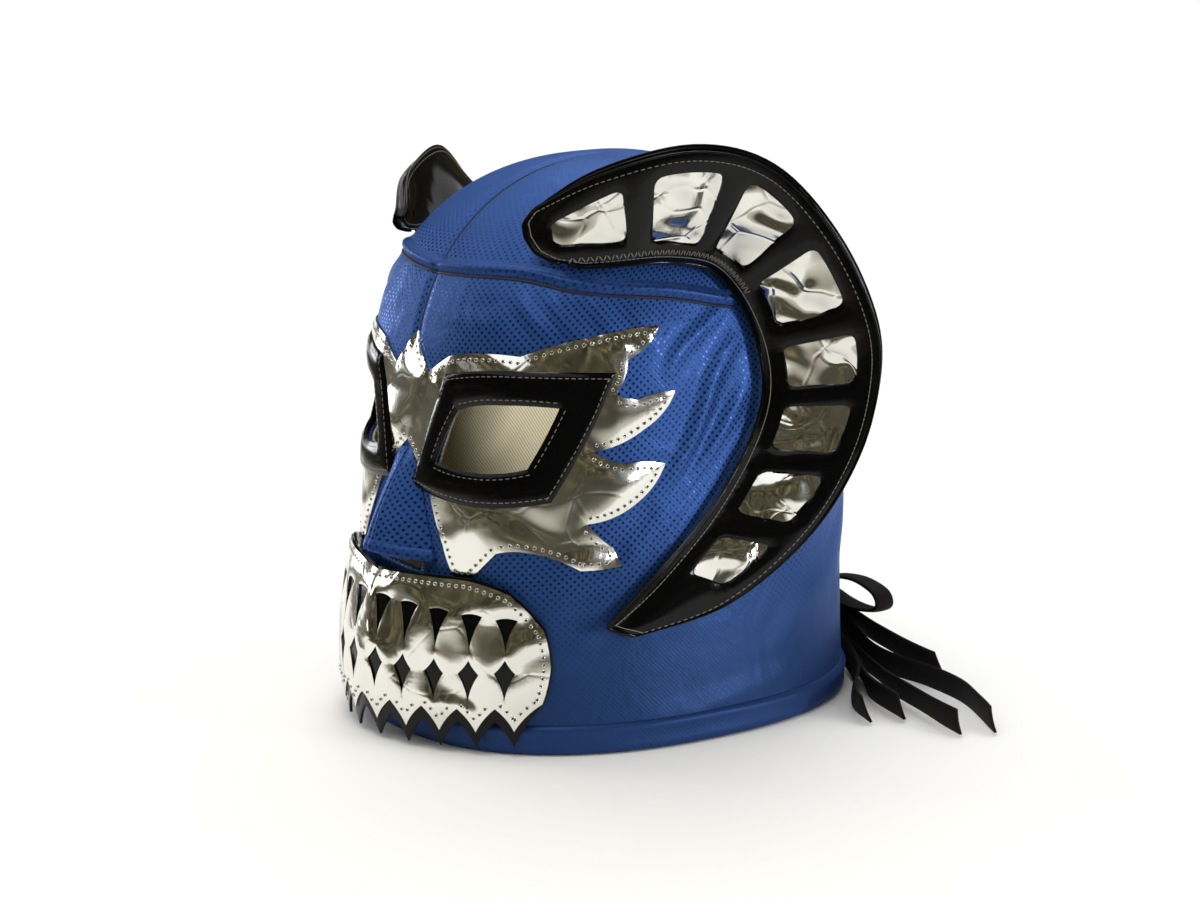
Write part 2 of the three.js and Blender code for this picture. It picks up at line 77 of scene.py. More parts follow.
camera = bpy.data.objects.new("camera", bpy.data.cameras.new("camera"))
camera.data.sensor_width = 36
camera.data.lens = 100.1
towards_camera = Vector((
    math.sin(CAMERA_AZIMUTH) * math.cos(CAMERA_ELEVATION),
    -math.cos(CAMERA_AZIMUTH) * math.cos(CAMERA_ELEVATION),
    math.sin(CAMERA_ELEVATION),
))
camera.location = CAMERA_TARGET + towards_camera * CAMERA_DISTANCE
camera.rotation_euler = towards_camera.to_track_quat("Z", "Y").to_euler()
bpy.context.scene.collection.objects.link(camera)
bpy.context.scene.camera = camera
print("camera at", [round(value, 3) for value in camera.location])

# %% [markdown]
# ## The hood's surface
# Everything is laid on one surface, so it is worked out once. A place on it is given by the walk
# round from the middle of the face, in millimetres, and the height above the hem. The section is
# nearly an oval at the hem and squarer round the face, and it closes over the crown as a dome. It
# could be sculpted instead, but a formula lets every patch and seam find the same surface.

# %% Measures of the hood, in millimetres
HOOD_HEIGHT = 246
TEMPLE_HEIGHT = 150
HOOD_GIRTH = np.array([(111, 112, 92), (109, 108, 88), (104.5, 106, 85), (99, 105, 84)])
HOOD_CENTRE_Y = 2
HEM_ROUNDNESS = 2.3
FACE_ROUNDNESS = 2.75
FACE_ROUND_HEIGHT = 120
DOME_ROUNDNESS = 2.2
EYE_LINE = 138
NOSE_BASE = 80
NOSE_TOP = 126


def curve_through(points, share):
    """Places on a smooth curve through the points, for shares from 0 to 1 of its stretches."""
    points = np.asarray(points, float)
    ends = np.vstack([2 * points[0] - points[1], points, 2 * points[-1] - points[-2]])
    place = np.clip(share, 0, 1) * (len(points) - 1)
    index = np.minimum(place.astype(int), len(points) - 2)
    t = (place - index)[..., None]
    before, start, end, after = (ends[index + step] for step in range(4))
    bend = (2 * before - 5 * start + 4 * end - after) * t**2
    return 0.5 * (2 * start + (end - before) * t + bend + (3 * start - before - 3 * end + after) * t**3)


def girth_at(height):
    """Front depth, back depth and half width of the hood at one height."""
    girth = curve_through(HOOD_GIRTH, np.array([height / TEMPLE_HEIGHT]))[0]
    rise = min(max((height - TEMPLE_HEIGHT) / (HOOD_HEIGHT - TEMPLE_HEIGHT), 0), 1)
    return girth * (1 - rise**DOME_ROUNDNESS) ** (1 / DOME_ROUNDNESS)


ANGLES = np.linspace(0, math.pi, 361)


def section_at(height):
    """Half of the hood's section from the face to the back, with the distance walked along it."""
    front, back, half_width = girth_at(height)
    share = min(max(height / FACE_ROUND_HEIGHT, 0), 1)
    share = share * share * (3 - 2 * share)
    power = 2 / (HEM_ROUNDNESS + (FACE_ROUNDNESS - HEM_ROUNDNESS) * share)
    depth = np.where(np.cos(ANGLES) > 0, -front, back)
    x = half_width * np.abs(np.sin(ANGLES)) ** power
    y = HOOD_CENTRE_Y + depth * np.abs(np.cos(ANGLES)) ** power
    x[-1] = 0
    walked = np.concatenate([[0], np.cumsum(np.hypot(np.diff(x), np.diff(y)))])
    return x, y, walked


print("hood:", HOOD_HEIGHT, "mm high, with the eyes at", EYE_LINE, "mm")

# %% A table of the surface, so that thousands of places are found at once
TABLE_WALKS = np.arange(0, 361.0)
TABLE_HEIGHTS = np.arange(0, HOOD_HEIGHT, 1.0)
table_x = np.zeros((len(TABLE_HEIGHTS), len(TABLE_WALKS)))
table_y = np.zeros_like(table_x)
half_girths = np.zeros(len(TABLE_HEIGHTS))
for row, height in enumerate(TABLE_HEIGHTS):
    section_x, section_y, section_walked = section_at(height)
    half_girths[row] = section_walked[-1]
    table_x[row] = np.interp(TABLE_WALKS, section_walked, section_x)
    table_y[row] = np.interp(TABLE_WALKS, section_walked, section_y)
print("girth over the eyes:", round(2 * float(half_girths[EYE_LINE])), "mm")


def from_table(table, walk, height):
    """Reads a table between its whole millimetres."""
    column = np.clip(walk, 0, len(TABLE_WALKS) - 1.001)
    row = np.clip(height, 0, len(TABLE_HEIGHTS) - 1.001)
    left, low = column.astype(int), row.astype(int)
    across, up = column - left, row - low
    lower = table[low, left] * (1 - across) + table[low, left + 1] * across
    upper = table[low + 1, left] * (1 - across) + table[low + 1, left + 1] * across
    return lower * (1 - up) + upper * up


def hood_skin(walk, height):
    """The bare head form, before any fold."""
    x = from_table(table_x, np.abs(walk), height) * np.sign(walk)
    return np.stack([x, from_table(table_y, np.abs(walk), height), height], 1)


def unit(vectors):
    """The same directions, each of length one."""
    return vectors / np.linalg.norm(vectors, axis=1, keepdims=True)


def outward(surface, across, up, step):
    """The direction that points straight out of a surface at each place."""
    along_across = surface(across + step, up) - surface(across - step, up)
    along_up = surface(across, up + step) - surface(across, up - step)
    return unit(np.cross(along_across, along_up))


# %% [markdown]
# ## Folds in the fabric
# Stretch fabric on a head form is never quite smooth: it pulls into long shallow folds between the
# places where it is sewn down. A cloth simulation would make some folds, but not these ones. So each
# fold is a soft ridge along a short path, and every piece that lies on the fabric follows it.

# %% Folds, as a path of (walk, height), a width and a rise in millimetres
FOLDS = [
    ([(52, 198), (62, 188), (74, 180)], 2.8, 1.8),
    ([(66, 198), (78, 186), (92, 176)], 2.8, 2.0),
    ([(84, 197), (96, 184), (108, 174)], 3.0, 1.9),
    ([(100, 196), (112, 184), (120, 175)], 3.0, 1.2),
    ([(30, 196), (36, 186), (46, 178)], 3.5, 0.8),
    ([(163, 176), (152, 158), (146, 140), (138, 122), (124, 104)], 4.8, 3.1),
    ([(172, 158), (162, 140), (150, 122), (134, 104), (112, 86)], 4.6, 3.2),
    ([(172, 140), (160, 122), (146, 106), (128, 90), (100, 74)], 4.6, 3.2),
    ([(164, 118), (148, 100), (126, 80), (98, 62)], 5.0, 3.0),
    ([(146, 92), (126, 70), (108, 58), (92, 50)], 5.0, 2.2),
    ([(156, 192), (146, 182), (134, 172), (128, 160)], 4.0, 1.6),
    ([(150, 60), (126, 52), (104, 48)], 7.0, 1.0),
    ([(205, 22), (180, 20), (150, 15), (120, 14)], 5.0, 1.5),
    ([(20, 190), (34, 184), (52, 186)], 4.5, 0.7),
    ([(200, 70), (225, 95), (235, 130)], 9.0, 1.6),
    ([(240, 60), (262, 90), (268, 130)], 10.0, 1.8),
    ([(205, 180), (235, 165), (270, 160)], 9.0, 1.4),
    ([(190, 34), (215, 50), (250, 58)], 9.0, 1.4),
]


def nearest_on_path(points, path, closed=False):
    """For each flat point, its distance from a path and how far along the path it is."""
    path = np.asarray(path, float)
    starts = path if closed else path[:-1]
    ahead = (np.roll(path, -1, 0) if closed else path[1:]) - starts
    length = np.hypot(ahead[:, 0], ahead[:, 1]).clip(1e-9)
    offset = points[:, None, :] - starts[None]
    share = np.clip((offset * ahead).sum(2) / length**2, 0, 1)
    gap = np.hypot(*np.moveaxis(offset - share[..., None] * ahead, 2, 0))
    best = gap.argmin(1)
    rows = np.arange(len(points))
    walked = np.concatenate([[0], np.cumsum(length)])[best] + share[rows, best] * length[best]
    return gap[rows, best], walked, walked / length.sum(), best, share[rows, best]


SEAM_DIP = 1.3
SEAM_HALF_WIDTH = 2.4


def seam_dip(walk, height, beside=None):
    """How far the fabric is drawn in at the seam that runs over the head from front to back."""
    if beside is None:
        beside = from_table(table_x, np.abs(walk), height)
    front = np.interp(height, (164, 172), (0, 1))
    back = np.interp(height, (188, 196), (0, 1))
    depth = SEAM_DIP * np.where(np.abs(walk) < 100, front, back)
    return depth * np.exp(-((beside / SEAM_HALF_WIDTH) ** 2))


def fold_rise(walk, height, beside=None):
    """How far the folds and the seam over the head lift or sink the fabric."""
    points = np.stack([np.abs(walk), height], 1)
    rise = -seam_dip(walk, height, beside)
    for path, width, top in FOLDS:
        smooth = curve_through(path, np.linspace(0, 1, 12))
        gap, _, share, _, _ = nearest_on_path(points, smooth)
        fade = np.clip(4 * share * (1 - share), 0, 1) ** 0.7
        rise += top * fade * (1.15 * np.exp(-((gap / width) ** 2)) - 0.5 * np.exp(-((gap / width / 2) ** 2)))
    return rise


def on_hood(walk, height, distance):
    """Places at a distance above the fabric, with its folds."""
    normal = outward(hood_skin, walk, height, 1.0)
    return hood_skin(walk, height) + normal * (distance + fold_rise(walk, height))[:, None]


print("folds:", len(FOLDS))

# %% [markdown]
# ## Colours and shader nodes
# Colours are written as the hex values that a paint program shows, and one function turns them into
# the linear light that a renderer counts in. One more function adds a node, sets it and links it.


# %% Colour and node helpers
def colour(hex_value):
    """A hex colour as linear light, with full opacity."""
    channels = [int(hex_value[start:start + 2], 16) / 255 for start in (0, 2, 4)]
    linear = [c / 12.92 if c <= 0.04045 else ((c + 0.055) / 1.055) ** 2.4 for c in channels]
    return (*linear, 1)


def add_node(material, kind, settings=None, links=None):
    """One node in a material, with its settings and the sockets that feed it."""
    tree = material.node_tree
    node = tree.nodes.new(kind)
    for name, value in (settings or {}).items():
        if isinstance(name, int) or name in node.inputs:
            node.inputs[name].default_value = value
        else:
            setattr(node, name, value)
    for name, socket in (links or {}).items():
        tree.links.new(socket, node.inputs[name])
    return node


def new_material(name, **settings):
    """A material with nothing but its main shader, set from the given values."""
    material = bpy.data.materials.new(name)
    material.use_nodes = True
    shader = material.node_tree.nodes["Principled BSDF"]
    for setting, value in settings.items():
        shader.inputs[setting.replace("_", " ")].default_value = value
    return material, shader


def feed(material, shader, **sockets):
    """Links finished values into the main shader."""
    for name, socket in sockets.items():
        material.node_tree.links.new(socket, shader.inputs[name.replace("_", " ")])


# %% [markdown]
# ## The hood's fabric
# The hood is a stretch knit with a metallic blue face, printed with a staggered grid of tiny dots
# of clear gloss. The ground scatters light like satin, and the glossy dots look dark until they
# catch a lamp. There are thousands of dots and they stand no higher than the cloth, so the material
# draws them. The grid runs with the cloth: it reads the flat pattern's own coordinates, which each
# piece keeps in its UV map in millimetres.

# %% Dotted metallic stretch fabric
DOT_SPACING = 2.4
DOT_RADIUS = 0.62
DOT_GRID_TURN = math.radians(40)
# A wave texture of this scale repeats once a unit, which is a millimetre of a flat pattern
ONE_UNIT_WAVE = 0.314


def dotted_fabric(name, ground, shade, dot_strength, hem_shade_share):
    """Stretch knit with a rolled-on metallic face and printed dots: satin blue that glints in dots."""
    fabric, shader = new_material(
        name, Metallic=0.5, IOR=1.5, Specular_IOR_Level=0.75, Specular_Tint=colour("A9C4FF"),
        Sheen_Weight=0.12, Sheen_Tint=colour("6E97F0"), Sheen_Roughness=0.4,
    )
    flat = add_node(fabric, "ShaderNodeTexCoord").outputs["UV"]
    object_place = add_node(fabric, "ShaderNodeTexCoord").outputs["Object"]
    turned = add_node(
        fabric, "ShaderNodeMapping",
        {"Rotation": (0, 0, DOT_GRID_TURN), "Scale": (1 / DOT_SPACING,) * 3}, {"Vector": flat},
    )
    lattice = add_node(
        fabric, "ShaderNodeTexVoronoi",
        {"voronoi_dimensions": "2D", "Scale": 1.0, "Randomness": 0.0}, {"Vector": turned.outputs[0]},
    )
    dots = add_node(
        fabric, "ShaderNodeMapRange",
        {"interpolation_type": "SMOOTHSTEP", "From Min": DOT_RADIUS / DOT_SPACING * 1.25,
         "From Max": DOT_RADIUS / DOT_SPACING * 0.75},
        {"Value": lattice.outputs["Distance"]},
    )
    # The gloss dots are worn and stretched thin towards the hem and over the crown
    height = add_node(fabric, "ShaderNodeSeparateXYZ", links={"Vector": object_place}).outputs["Z"]
    wear = add_node(
        fabric, "ShaderNodeMapRange",
        {"interpolation_type": "SMOOTHSTEP", "From Min": 0.035, "From Max": 0.085,
         "To Min": 0.2 * dot_strength, "To Max": dot_strength},
        {"Value": height},
    )
    crown_wear = add_node(
        fabric, "ShaderNodeMapRange",
        {"interpolation_type": "SMOOTHSTEP", "From Min": 0.205, "From Max": 0.24, "To Min": 1.0,
         "To Max": 0.35},
        {"Value": height},
    )
    wear_weight = add_node(
        fabric, "ShaderNodeMath", {"operation": "MULTIPLY"},
        {0: wear.outputs[0], 1: crown_wear.outputs[0]},
    )
    dot_weight = add_node(
        fabric, "ShaderNodeMath", {"operation": "MULTIPLY"}, {0: dots.outputs[0], 1: wear_weight.outputs[0]},
    )
    # Uneven stretch lightens and darkens the ground a little, over areas of a few centimetres
    cloud = add_node(
        fabric, "ShaderNodeTexNoise", {"Scale": 28.0, "Detail": 3.0}, {"Vector": object_place},
    )
    ground_tone = add_node(
        fabric, "ShaderNodeMix", {"data_type": "RGBA", 6: colour(shade), 7: colour(ground)},
        {0: cloud.outputs["Fac"]},
    )
    # Painted shade: the ground is darkened a little low down, towards the hem, where the hood turns under and
    # is shaded
    painted_hem_shade = add_node(
        fabric, "ShaderNodeMapRange",
        {"interpolation_type": "SMOOTHSTEP", "From Min": 0.02, "From Max": 0.115, "To Min": hem_shade_share,
         "To Max": 0.0},
        {"Value": height},
    )
    hem_shaded_tone = add_node(
        fabric, "ShaderNodeMix", {"data_type": "RGBA", 7: colour("152B4E")},
        {0: painted_hem_shade.outputs[0], 6: ground_tone.outputs[2]},
    )
    tone = add_node(
        fabric, "ShaderNodeMix", {"data_type": "RGBA", 7: colour("0A1433")},
        {0: dot_weight.outputs[0], 6: hem_shaded_tone.outputs[2]},
    )
    rough = add_node(
        fabric, "ShaderNodeMapRange", {"To Min": 0.52, "To Max": 0.2}, {"Value": dot_weight.outputs[0]},
    )
    # The knit's courses, about 1.4 mm apart and slanted by the stretch. They are drawn coarser than
    # the real gauge of about 0.5 mm, which would be too fine to show
    courses = add_node(
        fabric, "ShaderNodeTexWave",
        {"bands_direction": "DIAGONAL", "Scale": ONE_UNIT_WAVE, "Distortion": 1.2, "Detail": 2.0},
        {"Vector": flat},
    )
    creases = add_node(
        fabric, "ShaderNodeTexNoise", {"Scale": 42.0, "Detail": 3.0, "Distortion": 0.6},
        {"Vector": object_place},
    )
    crease_bump = add_node(
        fabric, "ShaderNodeBump", {"Strength": 0.35, "Distance": 0.003}, {"Height": creases.outputs["Fac"]},
    )
    course_bump = add_node(
        fabric, "ShaderNodeBump", {"Strength": 0.22, "Distance": 0.00012},
        {"Height": courses.outputs["Fac"], "Normal": crease_bump.outputs[0]},
    )
    feed(
        fabric, shader, Base_Color=tone.outputs[2], Roughness=rough.outputs[0], Normal=course_bump.outputs[0],
    )
    return fabric


# The last number is how strongly each fabric gets the painted hem shade
blue_fabric = dotted_fabric("dotted metallic stretch knit", "2B5499", "20427C", 0.92, 0.75)
seam_fabric = dotted_fabric("dotted stretch knit, doubled at seams", "264A8C", "1C3A72", 0.7, 0.6)
print("fabrics:", blue_fabric.name, "and", seam_fabric.name)

# %% [markdown]
# ## Vinyl, foil, thread, lining and tape
# The black parts are patent vinyl: a knit coated with a thick, wet-looking layer. The silver parts
# are the same cloth with a mirror film on top, and the film never lies quite flat. Both get their
# character from what they reflect, so each has a wavy surface with a very smooth finish. The waves
# are too small and too many to model, so bump nodes bend the reflections. Thread, lining and tape
# are matt beside them, and show their plies, ribs and weave.

# %% Black patent vinyl
# A knit with a thick, smooth-rolled vinyl coat: deep black, with sharp and slightly wavy highlights
patent_vinyl, patent_shader = new_material(
    "black patent vinyl", Base_Color=colour("050506"), Roughness=0.13, IOR=1.5, Specular_IOR_Level=0.2,
)
patent_place = add_node(patent_vinyl, "ShaderNodeTexCoord").outputs["Object"]
patent_waves = add_node(
    patent_vinyl, "ShaderNodeTexNoise", {"Scale": 34.0, "Detail": 1.5, "Distortion": 0.6},
    {"Vector": patent_place},
)
patent_grain = add_node(
    patent_vinyl, "ShaderNodeTexNoise", {"Scale": 900.0, "Detail": 1.0}, {"Vector": patent_place},
)
patent_wave_bump = add_node(
    patent_vinyl, "ShaderNodeBump", {"Strength": 0.35, "Distance": 0.003},
    {"Height": patent_waves.outputs["Fac"]},
)
patent_bump = add_node(
    patent_vinyl, "ShaderNodeBump", {"Strength": 0.12, "Distance": 0.0002},
    {"Height": patent_grain.outputs["Fac"], "Normal": patent_wave_bump.outputs[0]},
)
feed(patent_vinyl, patent_shader, Normal=patent_bump.outputs[0])
print("vinyl:", patent_vinyl.name)


# %% Mirror foil on vinyl
def mirror_foil(name, wave_scale, wave_depth, crinkle_strength, smoothest, roughest):
    """Vinyl with a metallised film on top: it shows the room, bent by every wave and crease."""
    foil, shader = new_material(name, Base_Color=colour("E7E6DF"), Metallic=1.0)
    place = add_node(foil, "ShaderNodeTexCoord").outputs["Object"]
    waves = add_node(
        foil, "ShaderNodeTexNoise", {"Scale": wave_scale, "Detail": 0.4, "Distortion": 0.7},
        {"Vector": place},
    )
    wave_bump = add_node(
        foil, "ShaderNodeBump", {"Strength": 0.9, "Distance": wave_depth}, {"Height": waves.outputs["Fac"]},
    )
    # Soft dents, where the film has been pressed
    crinkles = add_node(
        foil, "ShaderNodeTexVoronoi", {"feature": "SMOOTH_F1", "Scale": wave_scale * 1.7, "Smoothness": 1.0},
        {"Vector": place},
    )
    crinkle_bump = add_node(
        foil, "ShaderNodeBump", {"Strength": crinkle_strength, "Distance": 0.002},
        {"Height": crinkles.outputs["Distance"], "Normal": wave_bump.outputs[0]},
    )
    # Thin crease lines, between areas about two centimetres across
    bend = add_node(
        foil, "ShaderNodeVectorMath", {"operation": "SCALE", "Scale": 0.02}, {0: waves.outputs["Color"]},
    )
    bent_place = add_node(
        foil, "ShaderNodeVectorMath", {"operation": "ADD"}, {0: place, 1: bend.outputs[0]},
    )
    creases = add_node(
        foil, "ShaderNodeTexVoronoi", {"feature": "DISTANCE_TO_EDGE", "Scale": 48.0},
        {"Vector": bent_place.outputs[0]},
    )
    crease_lines = add_node(
        foil, "ShaderNodeMapRange", {"From Max": 0.06}, {"Value": creases.outputs["Distance"]},
    )
    crease_bump = add_node(
        foil, "ShaderNodeBump", {"Strength": crinkle_strength, "Distance": 0.0004},
        {"Height": crease_lines.outputs[0], "Normal": crinkle_bump.outputs[0]},
    )
    smears = add_node(foil, "ShaderNodeTexNoise", {"Scale": 120.0, "Detail": 4.0}, {"Vector": place})
    rough = add_node(
        foil, "ShaderNodeMapRange", {"To Min": smoothest, "To Max": roughest},
        {"Value": smears.outputs["Fac"]},
    )
    feed(foil, shader, Normal=crease_bump.outputs[0], Roughness=rough.outputs[0])
    return foil


face_foil = mirror_foil("mirror foil vinyl, sewn flat", 27.0, 0.0075, 0.1, 0.06, 0.2)
horn_foil = mirror_foil("mirror foil vinyl, loose under windows", 42.0, 0.009, 0.4, 0.06, 0.2)
print("foils:", face_foil.name, "and", horn_foil.name)


# %% Thread, knit lining and lace tape
def spun_thread(name, hex_value):
    """Spun polyester thread: matt, with plies that catch the light one by one."""
    thread, shader = new_material(name, Roughness=0.6, Base_Color=colour(hex_value))
    place = add_node(thread, "ShaderNodeTexCoord").outputs["Object"]
    ply = add_node(thread, "ShaderNodeTexNoise", {"Scale": 2200.0, "Detail": 1.0}, {"Vector": place})
    bump = add_node(
        thread, "ShaderNodeBump", {"Strength": 0.5, "Distance": 0.0001}, {"Height": ply.outputs["Fac"]},
    )
    tone = add_node(
        thread, "ShaderNodeMix",
        {"data_type": "RGBA", 6: [0.6 * c for c in colour(hex_value)[:3]] + [1], 7: colour(hex_value)},
        {0: ply.outputs["Fac"]},
    )
    feed(thread, shader, Normal=bump.outputs[0], Base_Color=tone.outputs[2])
    return thread


grey_thread = spun_thread("grey polyester thread on vinyl", "77746B")
pit_thread = spun_thread("olive-grey thread sunk in foil", "3A372B")
blue_thread = spun_thread("blue polyester thread", "1F3F80")
# Very dark navy, darker than the thread alone: it is seam thread and painted shade of the seams' grooves
navy_thread_and_seam_shade = spun_thread("navy thread and painted seam shade", "0C1633")

# The lining is a brushed rib knit: matt cream, with soft slanted lines
LINING_RIB = 1.2
lining_knit, lining_shader = new_material("cream ribbed knit lining", Roughness=0.9, Sheen_Weight=0.3)
lining_flat = add_node(lining_knit, "ShaderNodeTexCoord").outputs["UV"]
lining_turned = add_node(
    lining_knit, "ShaderNodeMapping", {"Rotation": (0, 0, math.radians(38))}, {"Vector": lining_flat},
)
lining_ribs = add_node(
    lining_knit, "ShaderNodeTexWave",
    {"bands_direction": "X", "Scale": ONE_UNIT_WAVE / LINING_RIB, "Distortion": 0.4, "Detail": 2.0},
    {"Vector": lining_turned.outputs[0]},
)
lining_tone = add_node(
    lining_knit, "ShaderNodeMix",
    {"data_type": "RGBA", 6: colour("9C9479"), 7: colour("C8BFA3")}, {0: lining_ribs.outputs["Fac"]},
)
lining_bump = add_node(
    lining_knit, "ShaderNodeBump", {"Strength": 0.6, "Distance": 0.0003},
    {"Height": lining_ribs.outputs["Fac"]},
)
feed(lining_knit, lining_shader, Base_Color=lining_tone.outputs[2], Normal=lining_bump.outputs[0])

# The tape is woven polyester: dull black-brown, with fine ribs along it and closer wefts across
TAPE_WEAVE = 1.0
lace_tape, tape_shader = new_material("woven black-brown lace tape", Roughness=0.75, Specular_IOR_Level=0.2)
tape_flat = add_node(lace_tape, "ShaderNodeTexCoord").outputs["UV"]
tape_ribs = add_node(
    lace_tape, "ShaderNodeTexWave",
    {"bands_direction": "X", "Scale": ONE_UNIT_WAVE / TAPE_WEAVE, "Distortion": 0.3},
    {"Vector": tape_flat},
)
tape_wefts = add_node(
    lace_tape, "ShaderNodeTexWave",
    {"bands_direction": "Y", "Scale": ONE_UNIT_WAVE / TAPE_WEAVE * 1.6, "Distortion": 0.3},
    {"Vector": tape_flat},
)
tape_weave = add_node(
    lace_tape, "ShaderNodeMath", {"operation": "MULTIPLY"},
    {0: tape_ribs.outputs["Fac"], 1: tape_wefts.outputs["Fac"]},
)
tape_tone = add_node(
    lace_tape, "ShaderNodeMix", {"data_type": "RGBA", 6: colour("070505"), 7: colour("1D1713")},
    {0: tape_weave.outputs[0]},
)
tape_bump = add_node(
    lace_tape, "ShaderNodeBump", {"Strength": 0.6, "Distance": 0.0003}, {"Height": tape_weave.outputs[0]},
)
feed(lace_tape, tape_shader, Base_Color=tape_tone.outputs[2], Normal=tape_bump.outputs[0])
print("materials:", len(bpy.data.materials))

# %% [markdown]
# ## From a flat pattern to a sewn piece
# A flat piece is an outline filled with faces and then sliced into small squares, so that it can
# bend. Its flat coordinates go into its UV map before it is laid on a surface, which keeps every
# weave and dot grid at its true size. A shrinkwrap could lay it down too, but it would pull the
# edges off their measured lines. Modifiers give the piece its thickness and a rounded edge.


# %% Cutting, bending and finishing
def places_of(bm):
    """All vertex places as one array."""
    return np.array([vert.co for vert in bm.verts])


def move_to(bm, places):
    """Puts every vertex at its new place."""
    for vert, place in zip(bm.verts, places):
        vert.co = place


def keep_flat_map(bm, flat=None):
    """Writes each corner's flat place, in millimetres, to the UV map."""
    bm.verts.index_update()
    flat = places_of(bm) if flat is None else flat
    layer = bm.loops.layers.uv.verify()
    for face in bm.faces:
        for loop in face.loops:
            loop[layer].uv = flat[loop.vert.index][:2]


def grid(columns, rows):
    """A flat square of small faces, from 0 to 1 both ways."""
    bm = bmesh.new()
    bmesh.ops.create_grid(bm, x_segments=columns, y_segments=rows, size=0.5)
    spots = places_of(bm)
    low, high = spots.min(0), spots.max(0)
    move_to(bm, (spots - low) / np.where(high > low, high - low, 1))
    return bm


RIM = 0.7
# Keeps a cut from running exactly through a vertex
CUT_OFFSET = 0.013


def flat_cut(outline, holes=(), step=2.5):
    """A flat piece with holes and an even rim, sliced both ways into squares of about one step."""
    bm = bmesh.new()
    for loop in (outline, *holes):
        verts = [bm.verts.new((x, y, 0)) for x, y in loop]
        for start, end in zip(verts, verts[1:] + verts[:1]):
            bm.edges.new((start, end))
    bmesh.ops.triangle_fill(bm, edges=bm.edges[:], use_beauty=True, normal=(0, 0, 1))
    bmesh.ops.recalc_face_normals(bm, faces=bm.faces[:])
    bmesh.ops.inset_region(bm, faces=bm.faces[:], use_boundary=True, thickness=RIM)
    spots = places_of(bm)
    for axis in (0, 1):
        low, high = spots[:, axis].min(), spots[:, axis].max()
        cuts = max(int((high - low) / step), 1)
        normal = (1, 0, 0) if axis == 0 else (0, 1, 0)
        for cut in range(1, cuts):
            place = [0, 0, 0]
            place[axis] = low + (high - low) * cut / cuts + CUT_OFFSET
            bmesh.ops.bisect_plane(
                bm, geom=bm.verts[:] + bm.edges[:] + bm.faces[:], dist=1e-4, plane_co=place, plane_no=normal,
            )
    bmesh.ops.dissolve_degenerate(bm, dist=0.02, edges=bm.edges[:])
    for face in bm.faces:
        if face.normal.z < 0:
            face.normal_flip()
    return bm


def lay_on(bm, surface, relief):
    """Bends a flat piece onto a surface, at a distance that may change from place to place."""
    keep_flat_map(bm)
    flat = places_of(bm)
    places = surface(flat[:, 0], flat[:, 1], np.zeros(len(flat)) + relief)
    places[:, 1] += CENTRING_SHIFT
    move_to(bm, places * MM)


def finish_piece(name, bm, material, nodes=(), thickness=0, bevel=0, inward=True):
    """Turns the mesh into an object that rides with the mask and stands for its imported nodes."""
    mesh = bpy.data.meshes.new(name)
    bm.to_mesh(mesh)
    bm.free()
    mesh.materials.append(material)
    mesh.shade_smooth()
    piece = bpy.data.objects.new(name, mesh)
    bpy.context.scene.collection.objects.link(piece)
    if thickness:
        solidify = piece.modifiers.new("cloth thickness", "SOLIDIFY")
        solidify.thickness = thickness * MM
        solidify.offset = -1 if inward else 1
        solidify.use_even_offset = False
    if bevel:
        rounding = piece.modifiers.new("rounded edge", "BEVEL")
        rounding.width = bevel * MM
        rounding.segments = 2
        rounding.limit_method = "ANGLE"
        rounding.angle_limit = math.radians(50)
        rounding.harden_normals = True
    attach(piece, "root")
    if nodes:
        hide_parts(*nodes)
    print(f"{name}: {len(mesh.polygons)} faces")
    return piece


# %% [markdown]
# ## Curved outlines
# A flame or an eye frame is a few corners joined by gentle arcs. Bezier curves could draw it, but
# they need two handles for each corner. Here each corner is written with the bulge of the edge that
# follows it, so the outline stays short to write and smooth to look at.


# %% Outlines with arched edges
def arched(corners, step=2.0):
    """A closed outline through (x, y, bulge) corners. A bulge pushes the next edge outwards."""
    corners = np.array(corners, float)
    ahead = np.roll(corners, -1, 0)[:, :2] - corners[:, :2]
    turns_left = (corners[:, 0] * ahead[:, 1] - corners[:, 1] * ahead[:, 0]).sum() > 0
    points = []
    for (x, y, bulge), (ahead_x, ahead_y) in zip(corners, ahead):
        length = math.hypot(ahead_x, ahead_y)
        out = np.array([ahead_y, -ahead_x]) / length * (1 if turns_left else -1)
        count = max(int(length / step), 1)
        for share in np.arange(count) / count:
            points.append((x + ahead_x * share, y + ahead_y * share) + out * bulge * 4 * share * (1 - share))
    return np.array(points if turns_left else points[::-1])


def both_halves(half):
    """Adds the mirror image of the left half, which starts and ends on the middle line."""
    back = [(-x, y, half[index][2]) for index, (x, y, _) in enumerate(half[1:])]
    return half[:-1] + back[::-1]


def edge_distance(flat, outlines):
    """How far each flat point is from the nearest edge of a piece."""
    gaps = [nearest_on_path(flat[:, :2], outline, closed=True)[0] for outline in outlines]
    return np.minimum.reduce(gaps)


def inside(points, outline):
    """Whether each flat point lies inside an outline."""
    x, y = points[:, :1], points[:, 1:2]
    start, end = outline, np.roll(outline, -1, 0)
    spans = (start[:, 1] > y) != (end[:, 1] > y)
    rise = np.where(end[:, 1] == start[:, 1], 1e-9, end[:, 1] - start[:, 1])
    crossing = start[:, 0] + (y - start[:, 1]) * (end[:, 0] - start[:, 0]) / rise
    return (spans & (x < crossing)).sum(1) % 2 == 1


# %% [markdown]
# ## Stitches
# Topstitching is what makes a sewn piece look sewn. A dashed line in the material would be simpler,
# but it stays flat. So each stitch is a tiny capsule of thread that dips into the cloth at both
# ends, made once per hole spacing along a line beside the edge.


